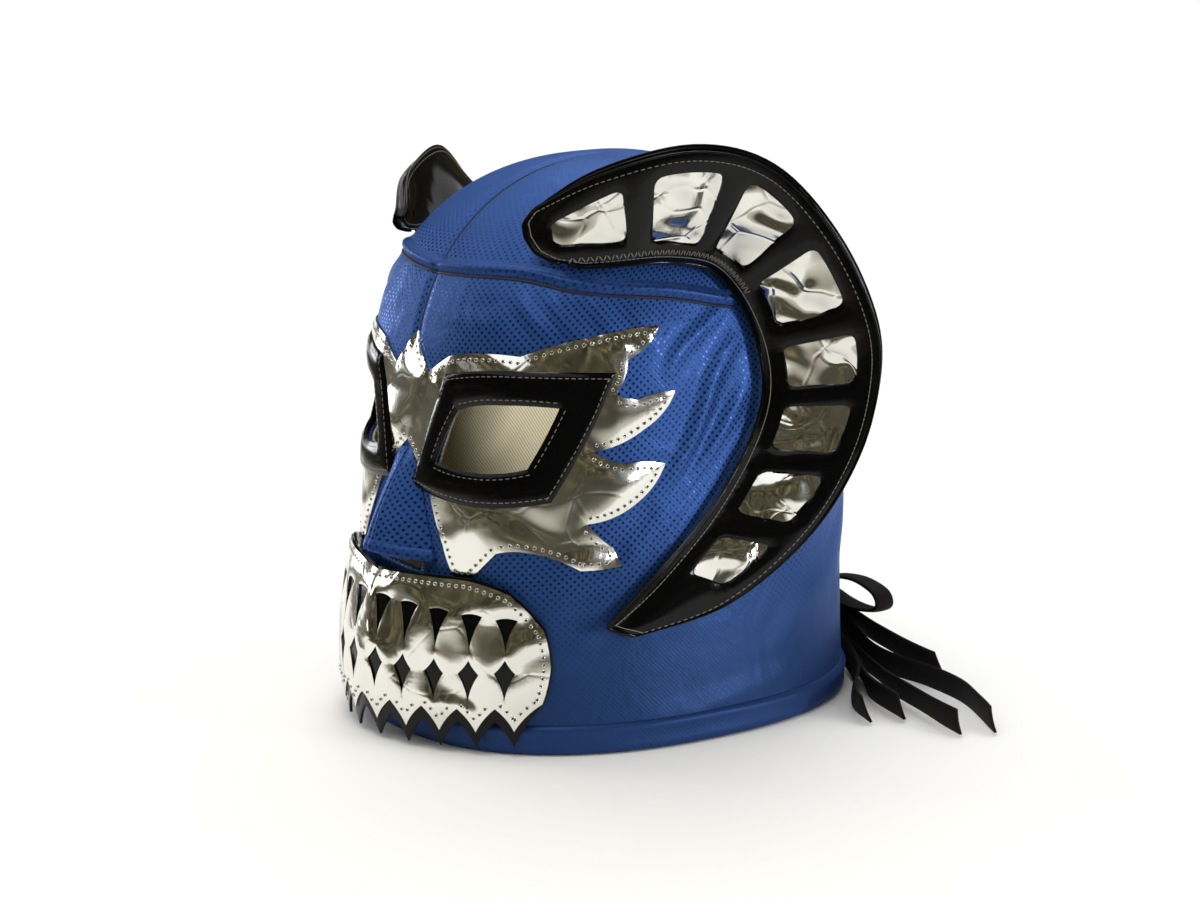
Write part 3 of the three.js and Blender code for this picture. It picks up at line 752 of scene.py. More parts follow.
# %% Rows of stitches
def stitch_spots(path, inset, pitch, closed):
    """Evenly spaced flat places beside a path, to its left, with the direction of the path there."""
    path = np.asarray(path, float)
    starts = path if closed else path[:-1]
    ahead = (np.roll(path, -1, 0) - path) if closed else path[1:] - path[:-1]
    length = np.hypot(ahead[:, 0], ahead[:, 1]).clip(1e-9)
    walked = np.concatenate([[0], np.cumsum(length)])
    count = max(int(walked[-1] / pitch), 1)
    at = (np.arange(count) + 0.5) * walked[-1] / count
    edge = np.clip(np.searchsorted(walked, at, side="right") - 1, 0, len(starts) - 1)
    share = (at - walked[edge]) / length[edge]
    along = ahead[edge] / length[edge][:, None]
    spots = starts[edge] + ahead[edge] * share[:, None]
    spots = spots + inset * np.stack([-along[:, 1], along[:, 0]], 1)
    keep = nearest_on_path(spots, path, closed)[0] > 0.93 * inset
    return spots[keep], along[keep]


one_stitch_bm = bmesh.new()
bmesh.ops.create_uvsphere(one_stitch_bm, u_segments=6, v_segments=4, radius=1)
ONE_STITCH = bpy.data.meshes.new("one_stitch")
one_stitch_bm.to_mesh(ONE_STITCH)
CAPSULE = places_of(one_stitch_bm)
one_stitch_bm.free()
print("faces in one stitch:", len(ONE_STITCH.polygons))


def sew(bm, places, alongs, outs, length, width):
    """Adds one capsule of thread for each place."""
    already_there = len(bm.verts)
    for _ in places:
        bm.from_mesh(ONE_STITCH)
    alongs, outs = unit(alongs), unit(outs)
    axes = (np.cross(alongs, outs) * width / 2, outs * width / 3, alongs * length / 2)
    capsules = places[:, None] + sum(CAPSULE[None, :, axis, None] * axes[axis][:, None] for axis in range(3))
    for vert, spot in zip(bm.verts[:][already_there:], capsules.reshape(-1, 3)):
        vert.co = spot * MM


def pits_along(rims, threads, surface, spots, distance):
    """Stitch holes pulled into foil: a raised bright rim round a sunk dot of thread."""
    turned = np.linspace(0, 2 * math.pi, 6, endpoint=False)
    for turn in turned:
        ring = np.array([math.cos(turn), math.sin(turn)])
        across = np.tile([-ring[1], ring[0]], (len(spots), 1))
        sew_along(rims, surface, spots + ring * 0.62, across, distance, length=0.95, width=0.45)
    sew_along(threads, surface, spots, np.tile([1.0, 0.0], (len(spots), 1)), distance, length=1.0, width=1.0)


def sew_along(bm, surface, spots, along, distance, length=2.2, width=0.75):
    """Stitches at flat places of a surface, at a distance above it."""
    flat_distance = np.full(len(spots), float(distance))
    places = surface(spots[:, 0], spots[:, 1], flat_distance)
    ahead = spots + 0.5 * along
    behind = spots - 0.5 * along
    ahead_places = surface(ahead[:, 0], ahead[:, 1], flat_distance)
    alongs = ahead_places - surface(behind[:, 0], behind[:, 1], flat_distance)
    outs = surface(spots[:, 0], spots[:, 1], flat_distance + 1) - places
    places[:, 1] += CENTRING_SHIFT
    sew(bm, places, alongs, outs, length, width)


# %% [markdown]
# ## The loose laces
# The lace that closes the back ends in five tapes that stand on edge on the table, fanned out to
# the wearer's left, and one loop of the bow. Each is a woven tape of fixed length. A curve with a
# flat profile could make it, but a bent grid can also lean, cup and end at a slant. The tapes come
# early because their length and place are checked against the camera's view.

# %% Routes of the tapes, the same as in the part's source
TAPE_WIDTH = 10
TAPE_THICKNESS = 1.2
FLOOR_CLEARANCE = 0.75
TAIL_ROUTES = [
    [(14, 126, 21), (30, 125, 19.5), (46, 124, 17), (63, 128, 12.5), (84, 136, 7)],
    [(14, 124, 20), (30, 121.5, 14), (46, 120, 8.5), (64, 122, 6), (84, 124, 6), (110, 121, 6), (135, 112, 6),
     (156, 102, 6)],
    [(14, 122, 19), (27, 119.5, 12), (40, 116, 7.5), (68, 108, 6), (93, 100, 6), (122, 94, 6), (150, 89, 6)],
    [(14, 120, 18), (34, 114.8, 10), (62, 102.5, 6), (88, 89, 6), (119, 82, 6)],
    [(14, 118, 17), (36, 112, 9.5), (64, 98.5, 6), (84, 81, 6), (97, 72, 6), (114, 66, 6)],
]
LOOP_ROUTE = [
    (9, 122, 34.5), (20, 122, 39), (36, 122, 41), (50, 122, 38.5), (54, 122, 33), (49, 122, 29),
    (36, 122, 27.5), (24, 122, 28), (14, 122, 30),
]


def tape(route, width_along, lean, slant, name, node):
    """A flat woven tape along a route. Its width follows one direction, leans and ends at a slant."""
    steps = max(int(len(route) * 7), 30)
    line = curve_through(route, np.linspace(0, 1, steps * 4 + 1))
    walked = np.concatenate([[0], np.cumsum(np.linalg.norm(np.diff(line, axis=0), axis=1))])
    length = walked[-1]
    bm = grid(steps, 6)
    spots = places_of(bm)
    share, across = spots[:, 0], (spots[:, 1] - 0.5) * TAPE_WIDTH
    keep_flat_map(bm, np.stack([share * length, across], 1))
    at = share * length - slant * np.clip((share - 0.85) / 0.15, 0, 1) * (across / TAPE_WIDTH + 0.5)

    def on_line(distance):
        return np.stack([np.interp(distance, walked, line[:, axis]) for axis in range(3)], 1)

    ahead = unit(on_line(np.clip(at + 0.8, 0, length)) - on_line(np.clip(at - 0.8, 0, length)))
    upright = np.tile(np.array(width_along, float), (len(at), 1))
    side = unit(np.cross(ahead, upright))
    upright = unit(np.cross(side, ahead))
    tilt = np.radians(lean) * np.sin(share * math.pi * 1.2)
    width_direction = upright * np.cos(tilt)[:, None] + side * np.sin(tilt)[:, None]
    face = unit(np.cross(ahead, width_direction))
    ripple = 0.35 * np.sin(at / 9 + across / 5)
    cupping = 0.5 * (1 - (2 * across / TAPE_WIDTH) ** 2)
    places = on_line(at) + width_direction * across[:, None] * 0.97 + face * (ripple + cupping - 0.2)[:, None]
    places[:, 1] += CENTRING_SHIFT
    places[:, 2] = np.maximum(places[:, 2], FLOOR_CLEARANCE)
    move_to(bm, places * MM)
    piece = finish_piece(name, bm, lace_tape, [node], thickness=TAPE_THICKNESS)
    piece.modifiers["cloth thickness"].offset = 0
    path = line[::4] + np.array([0, CENTRING_SHIFT, 0])
    return piece, path * MM, length * MM


# %% Lay out the tapes
TAIL_LEANS = (12, -10, 14, 8, -12)
TAIL_SLANTS = (9, 8, 7, 8, 9)
for index, route in enumerate(TAIL_ROUTES):
    tail, tail_path, tail_length = tape(
        route, (0, 0, 1), TAIL_LEANS[index], TAIL_SLANTS[index],
        f"tail_{index + 1}", f"lace_tail_{index + 1}",
    )
    print(f"tail {index + 1}: {tail_length / MM:.0f} mm long")
loop, loop_path, loop_length = tape(LOOP_ROUTE, (0, 1, 0), 0, 0, "bow_loop", "lace_loop")
print(f"loop: {loop_length / MM:.0f} mm long")

# %% [markdown]
# ## The hood and its lining
# The real hood is sewn from several panels. They could be modelled one by one, but their edges would
# have to meet exactly, so the hood is one shell and its seams are laid on later. It starts as a grid
# whose columns run round the head and whose rows climb from the hem over the crown. The grid is
# bent to the head form, welded at the back and at the crown, and pushed out into its folds along
# its own normals. Then the eyes, the nose and the slit at the back are cut away. The lining is a
# plainer copy, 1.7 mm further in.

# %% The eye openings, drawn on the unrolled left side of the face
EYE_OPENING = [(24, -15, 0.8), (35, 9, 1.0), (56, 13.5, 0.6), (80, 13, 0.5), (69, -13, 0.8), (46, -16.5, 0.6)]
NOSE_HOLE = [(-19, NOSE_BASE - 5, 0), (19, NOSE_BASE - 5, 0), (9, NOSE_BASE + 26, 0), (-9, NOSE_BASE + 26, 0)]


def eye_shape(corners, grow=0):
    """An eye outline at the height of the eyes, grown away from its middle."""
    middle = 52
    return [
        (x + math.copysign(grow, x - middle), EYE_LINE + y + math.copysign(grow, y), bulge)
        for x, y, bulge in corners
    ]


print("eye opening:", len(EYE_OPENING), "corners")

# %% Bend a grid to the head form
HEM_TURN = 4.0
HEM_TURNED_IN = 2.2


def upright_share(turn):
    """How far the fabric's pattern follows the rise of the dome: not at the face, fully behind."""
    share = np.clip((turn - 0.2) / 0.5, 0, 1)
    return share * share * (3 - 2 * share)


def hood_shell(columns, rows, inset):
    """A closed shell of the hood's shape, with the flat place of each vertex as (walk, height)."""
    bm = grid(columns, rows)
    spots = places_of(bm)
    turn, rise = spots[:, 0] * 2 - 1, spots[:, 1]
    dome = np.clip((rise - 0.5) * 2, 0, 1)
    dome_height = TEMPLE_HEIGHT + (HOOD_HEIGHT - TEMPLE_HEIGHT) * np.sin(dome * math.pi / 2)
    height = np.where(rise < 0.5, rise * 2 * TEMPLE_HEIGHT, dome_height)
    places = np.zeros_like(spots)
    walk = np.zeros(len(spots))
    pattern_walk = np.zeros(len(spots))
    for level in np.unique(np.round(height, 6)):
        ring = np.abs(height - level) < 1e-5
        x, y, walked = section_at(float(level))
        walk[ring] = turn[ring] * walked[-1]
        shrunk = half_girths[TEMPLE_HEIGHT] - walked[-1] if level > TEMPLE_HEIGHT else 0
        pattern_walk[ring] = walk[ring] + turn[ring] * upright_share(np.abs(turn[ring])) * shrunk
        places[ring, 0] = np.interp(np.abs(walk[ring]), walked, x) * np.sign(turn[ring])
        places[ring, 1] = np.interp(np.abs(walk[ring]), walked, y)
        places[ring, 2] = level
    keep_flat_map(bm, np.stack([pattern_walk, rise * 2 * TEMPLE_HEIGHT], 1))
    mark = bm.verts.layers.float_vector.new("flat")
    for vert, vert_walk, vert_height in zip(bm.verts, walk, height):
        vert[mark] = (vert_walk, vert_height, 0)
    move_to(bm, places)
    bmesh.ops.remove_doubles(bm, verts=bm.verts, dist=0.02)
    bm.normal_update()
    flat = np.array([vert[mark] for vert in bm.verts])
    normals = np.array([vert.normal for vert in bm.verts])
    turned_in = HEM_TURNED_IN * np.clip(1 - flat[:, 1] / HEM_TURN, 0, 1) ** 2
    places = places_of(bm)
    push = fold_rise(flat[:, 0], flat[:, 1], places[:, 0]) - inset - turned_in
    places += normals * push[:, None]
    if inset:
        places[:, 2] = np.maximum(places[:, 2], 1.5)
    move_to(bm, places)
    return bm, mark


FACE_WALK = 160
RIM_REACH = 3.2


def cut_away(bm, mark, outline):
    """Removes the faces inside an outline and draws the new edge onto it."""
    bm.verts.index_update()
    flat = np.array([vert[mark][:2] for vert in bm.verts])
    centres = np.array([flat[[vert.index for vert in face.verts]].mean(0) for face in bm.faces])
    hole = inside(centres, outline) & (np.abs(centres[:, 0]) < FACE_WALK)
    doomed = [face for face, gone in zip(bm.faces, hole) if gone]
    bmesh.ops.delete(bm, geom=doomed, context="FACES")
    rim = [vert for vert in bm.verts if vert.is_boundary]
    rim_flat = np.array([vert[mark][:2] for vert in rim])
    gap, _, _, edge, share = nearest_on_path(rim_flat, outline, closed=True)
    ahead = np.roll(outline, -1, 0) - outline
    target = outline[edge] + ahead[edge] * share[:, None]
    for vert, near, spot, place in zip(rim, gap, rim_flat, target):
        if near < RIM_REACH and vert.co.y < 40:
            before = hood_skin(spot[None, 0], spot[None, 1])[0]
            after = hood_skin(place[None, 0], place[None, 1])[0]
            vert.co += Vector(after - before)
            vert[mark] = (place[0], place[1], 0)


SLIT_HALF_WIDTH = 5
SLIT_CUT_TOP = 184


def make_shell(columns, rows, inset, grow):
    """The shell with its eyes, nose and back slit cut away."""
    bm, mark = hood_shell(columns, rows, inset)
    for corners in (eye_shape(EYE_OPENING, 2.2 + grow), NOSE_HOLE):
        outline = arched(corners)
        cut_away(bm, mark, outline)
        if corners is not NOSE_HOLE:
            cut_away(bm, mark, outline[::-1] * (-1, 1))
    middles = [(face, face.calc_center_median()) for face in bm.faces]
    doomed = [
        face for face, middle in middles
        if abs(middle.x) < SLIT_HALF_WIDTH and middle.y > 60 and middle.z < SLIT_CUT_TOP
    ]
    bmesh.ops.delete(bm, geom=doomed, context="FACES")
    places = places_of(bm)
    places[:, 1] += CENTRING_SHIFT
    move_to(bm, places * MM)
    return bm


hood_bm = make_shell(320, 128, 0, 0)
finish_piece("hood", hood_bm, blue_fabric, ["hood"], thickness=1.3)
lining_bm = make_shell(200, 84, 1.7, 0.4)
finish_piece("hood_lining", lining_bm, lining_knit, thickness=1.1)

# %% [markdown]
# ## Seams and the hem
# The brow seam is a welt: the seam allowance is folded up inside and stitched down, so it stands out
# as one soft ridge with a groove below it. The seam over the head is plain: it draws the fabric
# in, and its thread shows as a thin line. Each of these lines is a narrow strip of very dark navy,
# darker than the thread alone: it is the thread and painted shade of the groove it lies in. A ridge
# could be pushed out of the hood itself, but that would need far smaller faces. So each seam is a
# strip laid along a path on the fabric, with its cross-section drawn as a row of rises.


# %% Strips along a path
def strip(path, width, rises, steps_per_mm=0.6, surface=None):
    """A strip along a path of flat places. Its cross-section is a row of rises from side to side."""
    surface = surface or on_hood
    smooth = curve_through(path, np.linspace(0, 1, 200))
    walked = np.concatenate([[0], np.cumsum(np.hypot(*np.diff(smooth, axis=0).T))])
    length = walked[-1]
    bm = grid(max(int(length * steps_per_mm), 8), (len(rises) - 1) * 2)
    spots = places_of(bm)
    share, across = spots[:, 0], spots[:, 1]
    line = np.stack([np.interp(share * length, walked, smooth[:, axis]) for axis in (0, 1)], 1)
    ahead = np.stack([np.interp(share * length + 0.5, walked, smooth[:, axis]) for axis in (0, 1)], 1)
    behind = np.stack([np.interp(share * length - 0.5, walked, smooth[:, axis]) for axis in (0, 1)], 1)
    along = unit(ahead - behind)
    side = np.stack([-along[:, 1], along[:, 0]], 1)
    flat = line + side * ((across - 0.5) * width)[:, None]
    keep_flat_map(bm, flat)
    distance = np.interp(across * (len(rises) - 1), np.arange(len(rises)), rises)
    places = surface(flat[:, 0], flat[:, 1], distance)
    places[:, 1] += CENTRING_SHIFT
    move_to(bm, places * MM)
    return bm


BROW_HALF = [(47, 206), (80, 201), (119, 197), (146, 192), (157, 190)]
BROW_PATH = [(-walk, height) for walk, height in BROW_HALF[::-1]] + [(0, 204)] + BROW_HALF
SEAM_LINE = [0.15, 0.5, 0.15]
brow_bm = strip(BROW_PATH, 7.0, [-0.5, 0.4, 1.7, 2.3, 2.0, 0.9, 0.3, -0.5])
finish_piece("brow_welt", brow_bm, seam_fabric, thickness=0.6)
# The dark strip in the groove below the welt is thread and painted shade of the groove
groove_bm = strip([(walk, height - 3.4) for walk, height in BROW_PATH], 1.2, SEAM_LINE)
finish_piece("brow_seam_thread_and_shade", groove_bm, navy_thread_and_seam_shade, thickness=0.3)

# The front seam's dark line is thread and painted shade of its groove
front_seam_bm = strip([(0, 201), (0, 190), (0, 178), (0, 168)], 1.1, SEAM_LINE)
finish_piece("front_seam_thread_and_shade", front_seam_bm, navy_thread_and_seam_shade, thickness=0.3)


# %% The crown seam, on the dome seen from above
dome_heights = HOOD_HEIGHT - (HOOD_HEIGHT - TEMPLE_HEIGHT) * np.linspace(1, 0, 600) ** 2
dome_girths = np.array([girth_at(float(height)) for height in dome_heights])


def dome(across, along):
    """The dome's surface over a place seen from above, found by halving the range of heights."""
    low, high = np.full(len(across), float(TEMPLE_HEIGHT)), np.full(len(across), float(HOOD_HEIGHT))
    for _ in range(24):
        middle = (low + high) / 2
        front, back, half_width = (np.interp(middle, dome_heights, column) for column in dome_girths.T)
        depth = np.where(along < 0, front, back)
        within = np.abs(across / half_width) ** FACE_ROUNDNESS + np.abs(along / depth) ** FACE_ROUNDNESS < 1
        low, high = np.where(within, middle, low), np.where(within, high, middle)
    return np.stack([across, HOOD_CENTRE_Y + along, low], 1)


def on_dome(across, along, distance):
    """Places at a distance above the bare dome."""
    return dome(across, along) + outward(dome, across, along, 0.8) * np.reshape(distance, (-1, 1))


crown_path = [(0, -85.5), (0, -50), (0, 0), (0, 50), (0, 84), (0, 98.3)]
crown_rises = [rise - SEAM_DIP for rise in SEAM_LINE]
# The crown seam's dark line is thread and painted shade of its groove
crown_seam_bm = strip(crown_path, 1.1, crown_rises, steps_per_mm=1.2, surface=on_dome)
finish_piece("crown_seam_thread_and_shade", crown_seam_bm, navy_thread_and_seam_shade, thickness=0.3)

# %% The hem: a folded band with a row of stitches near its upper edge
def hem_strip():
    """A swelling band from one side of the back slit to the other."""
    half = float(half_girths[7]) - 7
    path = [(walk, 6.9) for walk in np.linspace(-half, half, 90)]
    return strip(path, 13.4, [-1.5, 0.3, 0.8, 0.9, 1.0, 1.2, 1.5, 1.9, 1.5, -0.2], steps_per_mm=0.45)


finish_piece("hem_band", hem_strip(), seam_fabric, thickness=0.7)
hem_stitch_bm = bmesh.new()
half_hem = float(half_girths[14]) - 9
hem_spots, hem_along = stitch_spots([(-half_hem, 11.6), (0, 11.6), (half_hem, 11.6)], 0, 3.4, False)
sew_along(hem_stitch_bm, on_hood, hem_spots, hem_along, 1.0, length=2.4, width=0.7)
finish_piece("hem_stitches", hem_stitch_bm, blue_thread)

# %% [markdown]
# ## The nose gusset
# A gusset is a folded wedge of fabric that makes room for the nose. Two panels meet in a seam down
# the middle and widen towards the bottom, where the edge is hemmed and left open to breathe. Both
# panels are one grid, stretched from the middle ridge to the hood at each side, because then its
# edges can't come away from the hood.


# %% Two panels from the bridge to an open hem
NOSE_BRIDGE_HALF_WIDTH = 8.5
NOSE_HALF_WIDTH = 27
NOSE_REACH = 17


def nose_surface(across, down, distance):
    """Places on the gusset: across from -1 to 1, and down from 0 at the bridge to 1 at its hem."""
    side_height = NOSE_TOP + (NOSE_BASE - NOSE_TOP) * down
    ridge_height = NOSE_TOP + (NOSE_BASE + 3 - NOSE_TOP) * down
    half = NOSE_BRIDGE_HALF_WIDTH + (NOSE_HALF_WIDTH - NOSE_BRIDGE_HALF_WIDTH) * down**1.15
    side = on_hood(np.sign(across) * half, side_height, np.full(len(across), 0.2))
    front = hood_skin(np.zeros(1), np.array([float(NOSE_BASE)]))[0, 1]
    above = np.clip(1 - down, 0, 1)
    reach = NOSE_REACH * (1 - above**1.5) - 2.6 * above
    ridge = np.stack([np.zeros(len(across)), front - reach + 3 * above, ridge_height], 1)
    share = np.abs(across)
    blend = share[:, None] ** 1.12
    places = ridge * (1 - blend) + side * blend
    puff = 2.2 * np.sin(math.pi * share) * (0.3 + 0.7 * down)
    crease = -0.8 * np.exp(-((share / 0.035) ** 2)) + 0.5 * np.exp(-(((share - 0.1) / 0.05) ** 2))
    out = unit(np.stack([0.55 * across, -np.ones(len(across)), np.zeros(len(across)) - 0.1], 1))
    return places + out * (puff + crease + distance)[:, None]


def nose_panel(columns, rows, top, bottom, rises, widen=1.0):
    """The gusset between two shares of its height, with a row of rises from top to bottom."""
    bm = grid(columns, rows)
    spots = places_of(bm)
    across, down = (spots[:, 0] * 2 - 1) * widen, top + (bottom - top) * (1 - spots[:, 1])
    keep_flat_map(bm, np.stack([across * (9 + 19 * down), NOSE_TOP - 46 * down], 1))
    distance = np.interp(1 - spots[:, 1], np.linspace(0, 1, len(rises)), rises)
    places = nose_surface(across, down, distance)
    places[:, 1] += CENTRING_SHIFT
    move_to(bm, places * MM)
    return bm


nose_bm = nose_panel(60, 30, 0, 1, [0, 0])
finish_piece("nose_gusset", nose_bm, blue_fabric, thickness=1.2)
nose_hem_bm = nose_panel(60, 6, 0.89, 1.01, [0.0, 0.6, 0.8, 0.8, 0.4], widen=0.995)
finish_piece("nose_hem", nose_hem_bm, seam_fabric, thickness=1.6)

# %% [markdown]
# ## The foil face patch
# The patch is mirror foil vinyl, cut as a flame-edged band across the brow, round both eyes and down
# beside the nose. It is sewn flat along its edges, so it puffs up a little in between. Blown-up
# cloth would puff too, but a rise that grows with the distance from the edge keeps the outline.

# %% The patch's outline, from the brow peak round the flames to beside the nose
PATCH_HALF = [
    (0, EYE_LINE + 38, 0), (13, EYE_LINE + 22, 0), (27, EYE_LINE + 31, 1.5), (62, EYE_LINE + 34, 1.0),
    (90, EYE_LINE + 42, 0.8), (120, EYE_LINE + 45, 2.2), (108, EYE_LINE + 32, 1.6),
    (104, EYE_LINE + 18, -0.6), (114, EYE_LINE + 15, 0.8), (132, EYE_LINE + 17, 1.8),
    (118, EYE_LINE + 2, 1.5), (96, EYE_LINE - 6, -0.8), (110, EYE_LINE - 12, 0.8),
    (130, EYE_LINE - 14, 1.8), (117, EYE_LINE - 30, 1.6), (96, EYE_LINE - 37, -0.8),
    (108, EYE_LINE - 48, 0), (112, EYE_LINE - 56, 0.5), (94, EYE_LINE - 57, -1.2), (72, EYE_LINE - 49, -0.8),
    (58, EYE_LINE - 50, 0), (47, EYE_LINE - 62, 0.6), (38, EYE_LINE - 62, 0.5), (31, EYE_LINE - 50, 0.4),
    (18, EYE_LINE - 25, 0), (0, NOSE_TOP + 3, 0),
]
patch_outline = arched(both_halves(PATCH_HALF))
eye_hole = arched(eye_shape(EYE_OPENING, 4))
patch_edges = [patch_outline, eye_hole, eye_hole[::-1] * (-1, 1)]
print("patch outline:", len(patch_outline), "points")


# %% Cut, lay down and sew a piece
def sewn_piece(edges, surface, base, puff, softness, step=2.5):
    """A flat piece laid on a surface. It is lowest at its edges and puffs up away from them."""
    bm = flat_cut(edges[0], edges[1:], step)
    gap = edge_distance(places_of(bm), edges)
    lay_on(bm, surface, base + puff * (1 - np.exp(-gap / softness)))
    return bm


patch_bm = sewn_piece(patch_edges, on_hood, 0.9, 1.0, 5.0)
finish_piece(
    "face_patch", patch_bm, face_foil, ["face_patch"], thickness=0.7, bevel=0.15,
)


def sew_foil(name, outline, surface, distance):
    """A row of stitch pits just inside a foil piece's edge."""
    rims, threads = bmesh.new(), bmesh.new()
    spots, _ = stitch_spots(outline, 2.6, 3.3, True)
    pits_along(rims, threads, surface, spots, distance)
    finish_piece(f"{name}_pits", rims, face_foil)
    finish_piece(f"{name}_threads", threads, pit_thread)
    print(f"{name}: {len(spots)} stitches")


sew_foil("face_patch", patch_outline, on_hood, 1.45)

# %% [markdown]
# ## The eye frames
# Each eye has a padded frame of black patent vinyl, stitched along both its edges. A third row, by
# its middle, has sunk into the padding and doesn't show. The padding makes the face swell between
# the edges, so the gloss runs along it in soft lines. It is cut, laid and puffed up in the same way
# as the patch, only more steeply.

# %% Padded frames
EYE_FRAME = [(8, -27, 0.6), (26, 23, 0.8), (56, 28, 0.6), (103, 27, 1.2), (80, -27, 0.8), (46, -31, 0.8)]
for side, name in ((1, "left"), (-1, "right")):
    frame_outline, frame_hole = arched(eye_shape(EYE_FRAME)), arched(eye_shape(EYE_OPENING))
    if side < 0:
        frame_outline, frame_hole = (edge[::-1] * (-1, 1) for edge in (frame_outline, frame_hole))
    frame_bm = sewn_piece([frame_outline, frame_hole], on_hood, 2.0, 1.5, 2.0, step=2.0)
    finish_piece(
        f"eye_frame_{name}", frame_bm, patent_vinyl, [f"eye_frame_{name}"],
        thickness=1.5, bevel=0.35,
    )
    frame_stitch_bm = bmesh.new()
    for edge, inset in ((frame_outline, 2.4), (frame_hole[::-1], 2.4), (frame_outline, 6.6)):
        spots, along = stitch_spots(edge, inset, 2.7, True)
        sew_along(frame_stitch_bm, on_hood, spots, along, 3.0, length=2.1, width=0.5)
    finish_piece(f"eye_frame_stitches_{name}", frame_stitch_bm, grey_thread)

# %% [markdown]
# ## The jaw plate
# The jaw plate is stiff: mirror foil over black patent vinyl, folded down the middle so that it
# stands off the chin. Teeth are cut out of the foil, and the black shows through the gaps. The lower
# edge is jagged, and the black layer's tips reach below the foil's. The plate doesn't follow the
# hood, so it gets a surface of its own: at each height, a curve from the fold back to the hood.

# %% The jaw's own surface, from the centre fold back to the hood's side
JAW_TOP = 74
JAW_END = 84
JAW_REACH = 9
JAW_FLARE = 3
TEETH_PER_SIDE = 5
TOOTH_PITCH = 15.4
front_depths = np.array([girth_at(float(height))[0] for height in TABLE_HEIGHTS])


def jaw_skin(walk, height):
    """The flat plate bent from its middle fold back to the hood, at each height."""
    end = on_hood(np.full(len(walk), float(JAW_END)), height, 1.4)
    behind = on_hood(np.full(len(walk), JAW_END + 4.0), height, 1.4)
    ahead = unit(end - behind) * 30
    reach = np.interp(height, TABLE_HEIGHTS, front_depths) - HOOD_CENTRE_Y + JAW_REACH
    reach = reach + JAW_FLARE * (1 - height / JAW_TOP)
    fold = np.stack([np.zeros(len(walk)), -reach, height], 1)
    beside = np.stack([np.full(len(walk), 32.0), -reach + 2.5, height], 1)
    share = np.abs(walk) / JAW_END
    t = np.clip(share, 0, 1)[:, None]
    near_fold = fold * (1 - t) ** 3 + 3 * beside * t * (1 - t) ** 2
    places = near_fold + 3 * (end + ahead) * t**2 * (1 - t) + end * t**3
    places = places - ahead / 30 * (np.maximum(share - 1, 0) * JAW_END)[:, None]
    places[:, 0] *= np.where(walk < 0, -1, 1)
    return places


def on_jaw(walk, height, distance):
    """The plate is a little crowned from top to bottom, except at its ends."""
    crown = 4.2 * np.sin(math.pi * np.clip(height / JAW_TOP, 0, 1))
    crown = crown * (1 - (np.abs(walk) / JAW_END).clip(0, 1) ** 3)
    normal = outward(jaw_skin, walk, height, 1.0)
    return jaw_skin(walk, height) + normal * np.reshape(distance + crown, (-1, 1))


def mouth_rise(walk):
    """How far the two rows of teeth draw together towards the ends of the mouth."""
    return 4 * (walk / JAW_END) ** 2


def jaw_outline(inset, tip, valley):
    """The plate's outline, with a jagged lower edge between the heights of its tips and valleys."""
    end = JAW_END - inset
    half = [
        (0, JAW_TOP - inset, 0.4), (46, JAW_TOP + 3 - inset, 0.8), (66, JAW_TOP - 2 - inset, 0.8),
        (end - 3, 56, 0.5), (end, 40, 0.5), (end - 3, 24, -1),
    ]
    for jag in range(TEETH_PER_SIDE - 1, -1, -1):
        walk = (jag + 0.5) * TOOTH_PITCH
        half.append((walk, tip + mouth_rise(walk), -0.7))
        half.append((walk - TOOTH_PITCH / 2, valley + mouth_rise(walk), -0.7))
    return arched(both_halves(half))


print("jaw plate:", 2 * JAW_END, "mm round and", JAW_TOP, "mm high")

# %% Cut the black backing and the foil with its teeth
backing_outline = jaw_outline(0, 1.5, 13)
backing_bm = sewn_piece([backing_outline], on_jaw, 1.2, 0.2, 3.0)
finish_piece(
    "jaw_backing", backing_bm, patent_vinyl, ["jaw_backing"], thickness=1.3, bevel=0.3,
)

foil_outline = jaw_outline(0.9, 9, 19)
tooth_gaps = []
for tooth in range(-TEETH_PER_SIDE, TEETH_PER_SIDE):
    walk = (tooth + 0.5) * (TOOTH_PITCH - 0.9)
    rise = mouth_rise(walk)
    tooth_gaps.append(arched([
        (walk - 4.5, 63 - rise, -0.8), (walk, 45 + rise, -0.8), (walk + 4.5, 63 - rise, 0.9),
    ]))
    tooth_gaps.append(arched([
        (walk - 4.2, 35 + rise, -0.6), (walk, 23 + rise, -0.6),
        (walk + 4.2, 35 + rise, -0.3), (walk, 41 + rise, -0.3),
    ]))
foil_bm = sewn_piece([foil_outline, *tooth_gaps], on_jaw, 2.2, 0.5, 2.0, step=2.2)
finish_piece("jaw_foil", foil_bm, face_foil, ["jaw_foil"], thickness=0.7, bevel=0.2)
sew_foil("jaw_foil", foil_outline, on_jaw, 2.75)

# %% [markdown]
# ## The horns
# Each horn is a flat, curled band that stands free of the hood along its outer edge. It has a stiff
# black backing, a loose sheet of foil, and a black overlay with windows cut in it. Its flat pattern
# runs 400 mm along and 50 mm across, and is stretched to the horn's real width when it is bent. The
# band is nearly straight from edge to edge, so only its two edges have to be drawn in space.

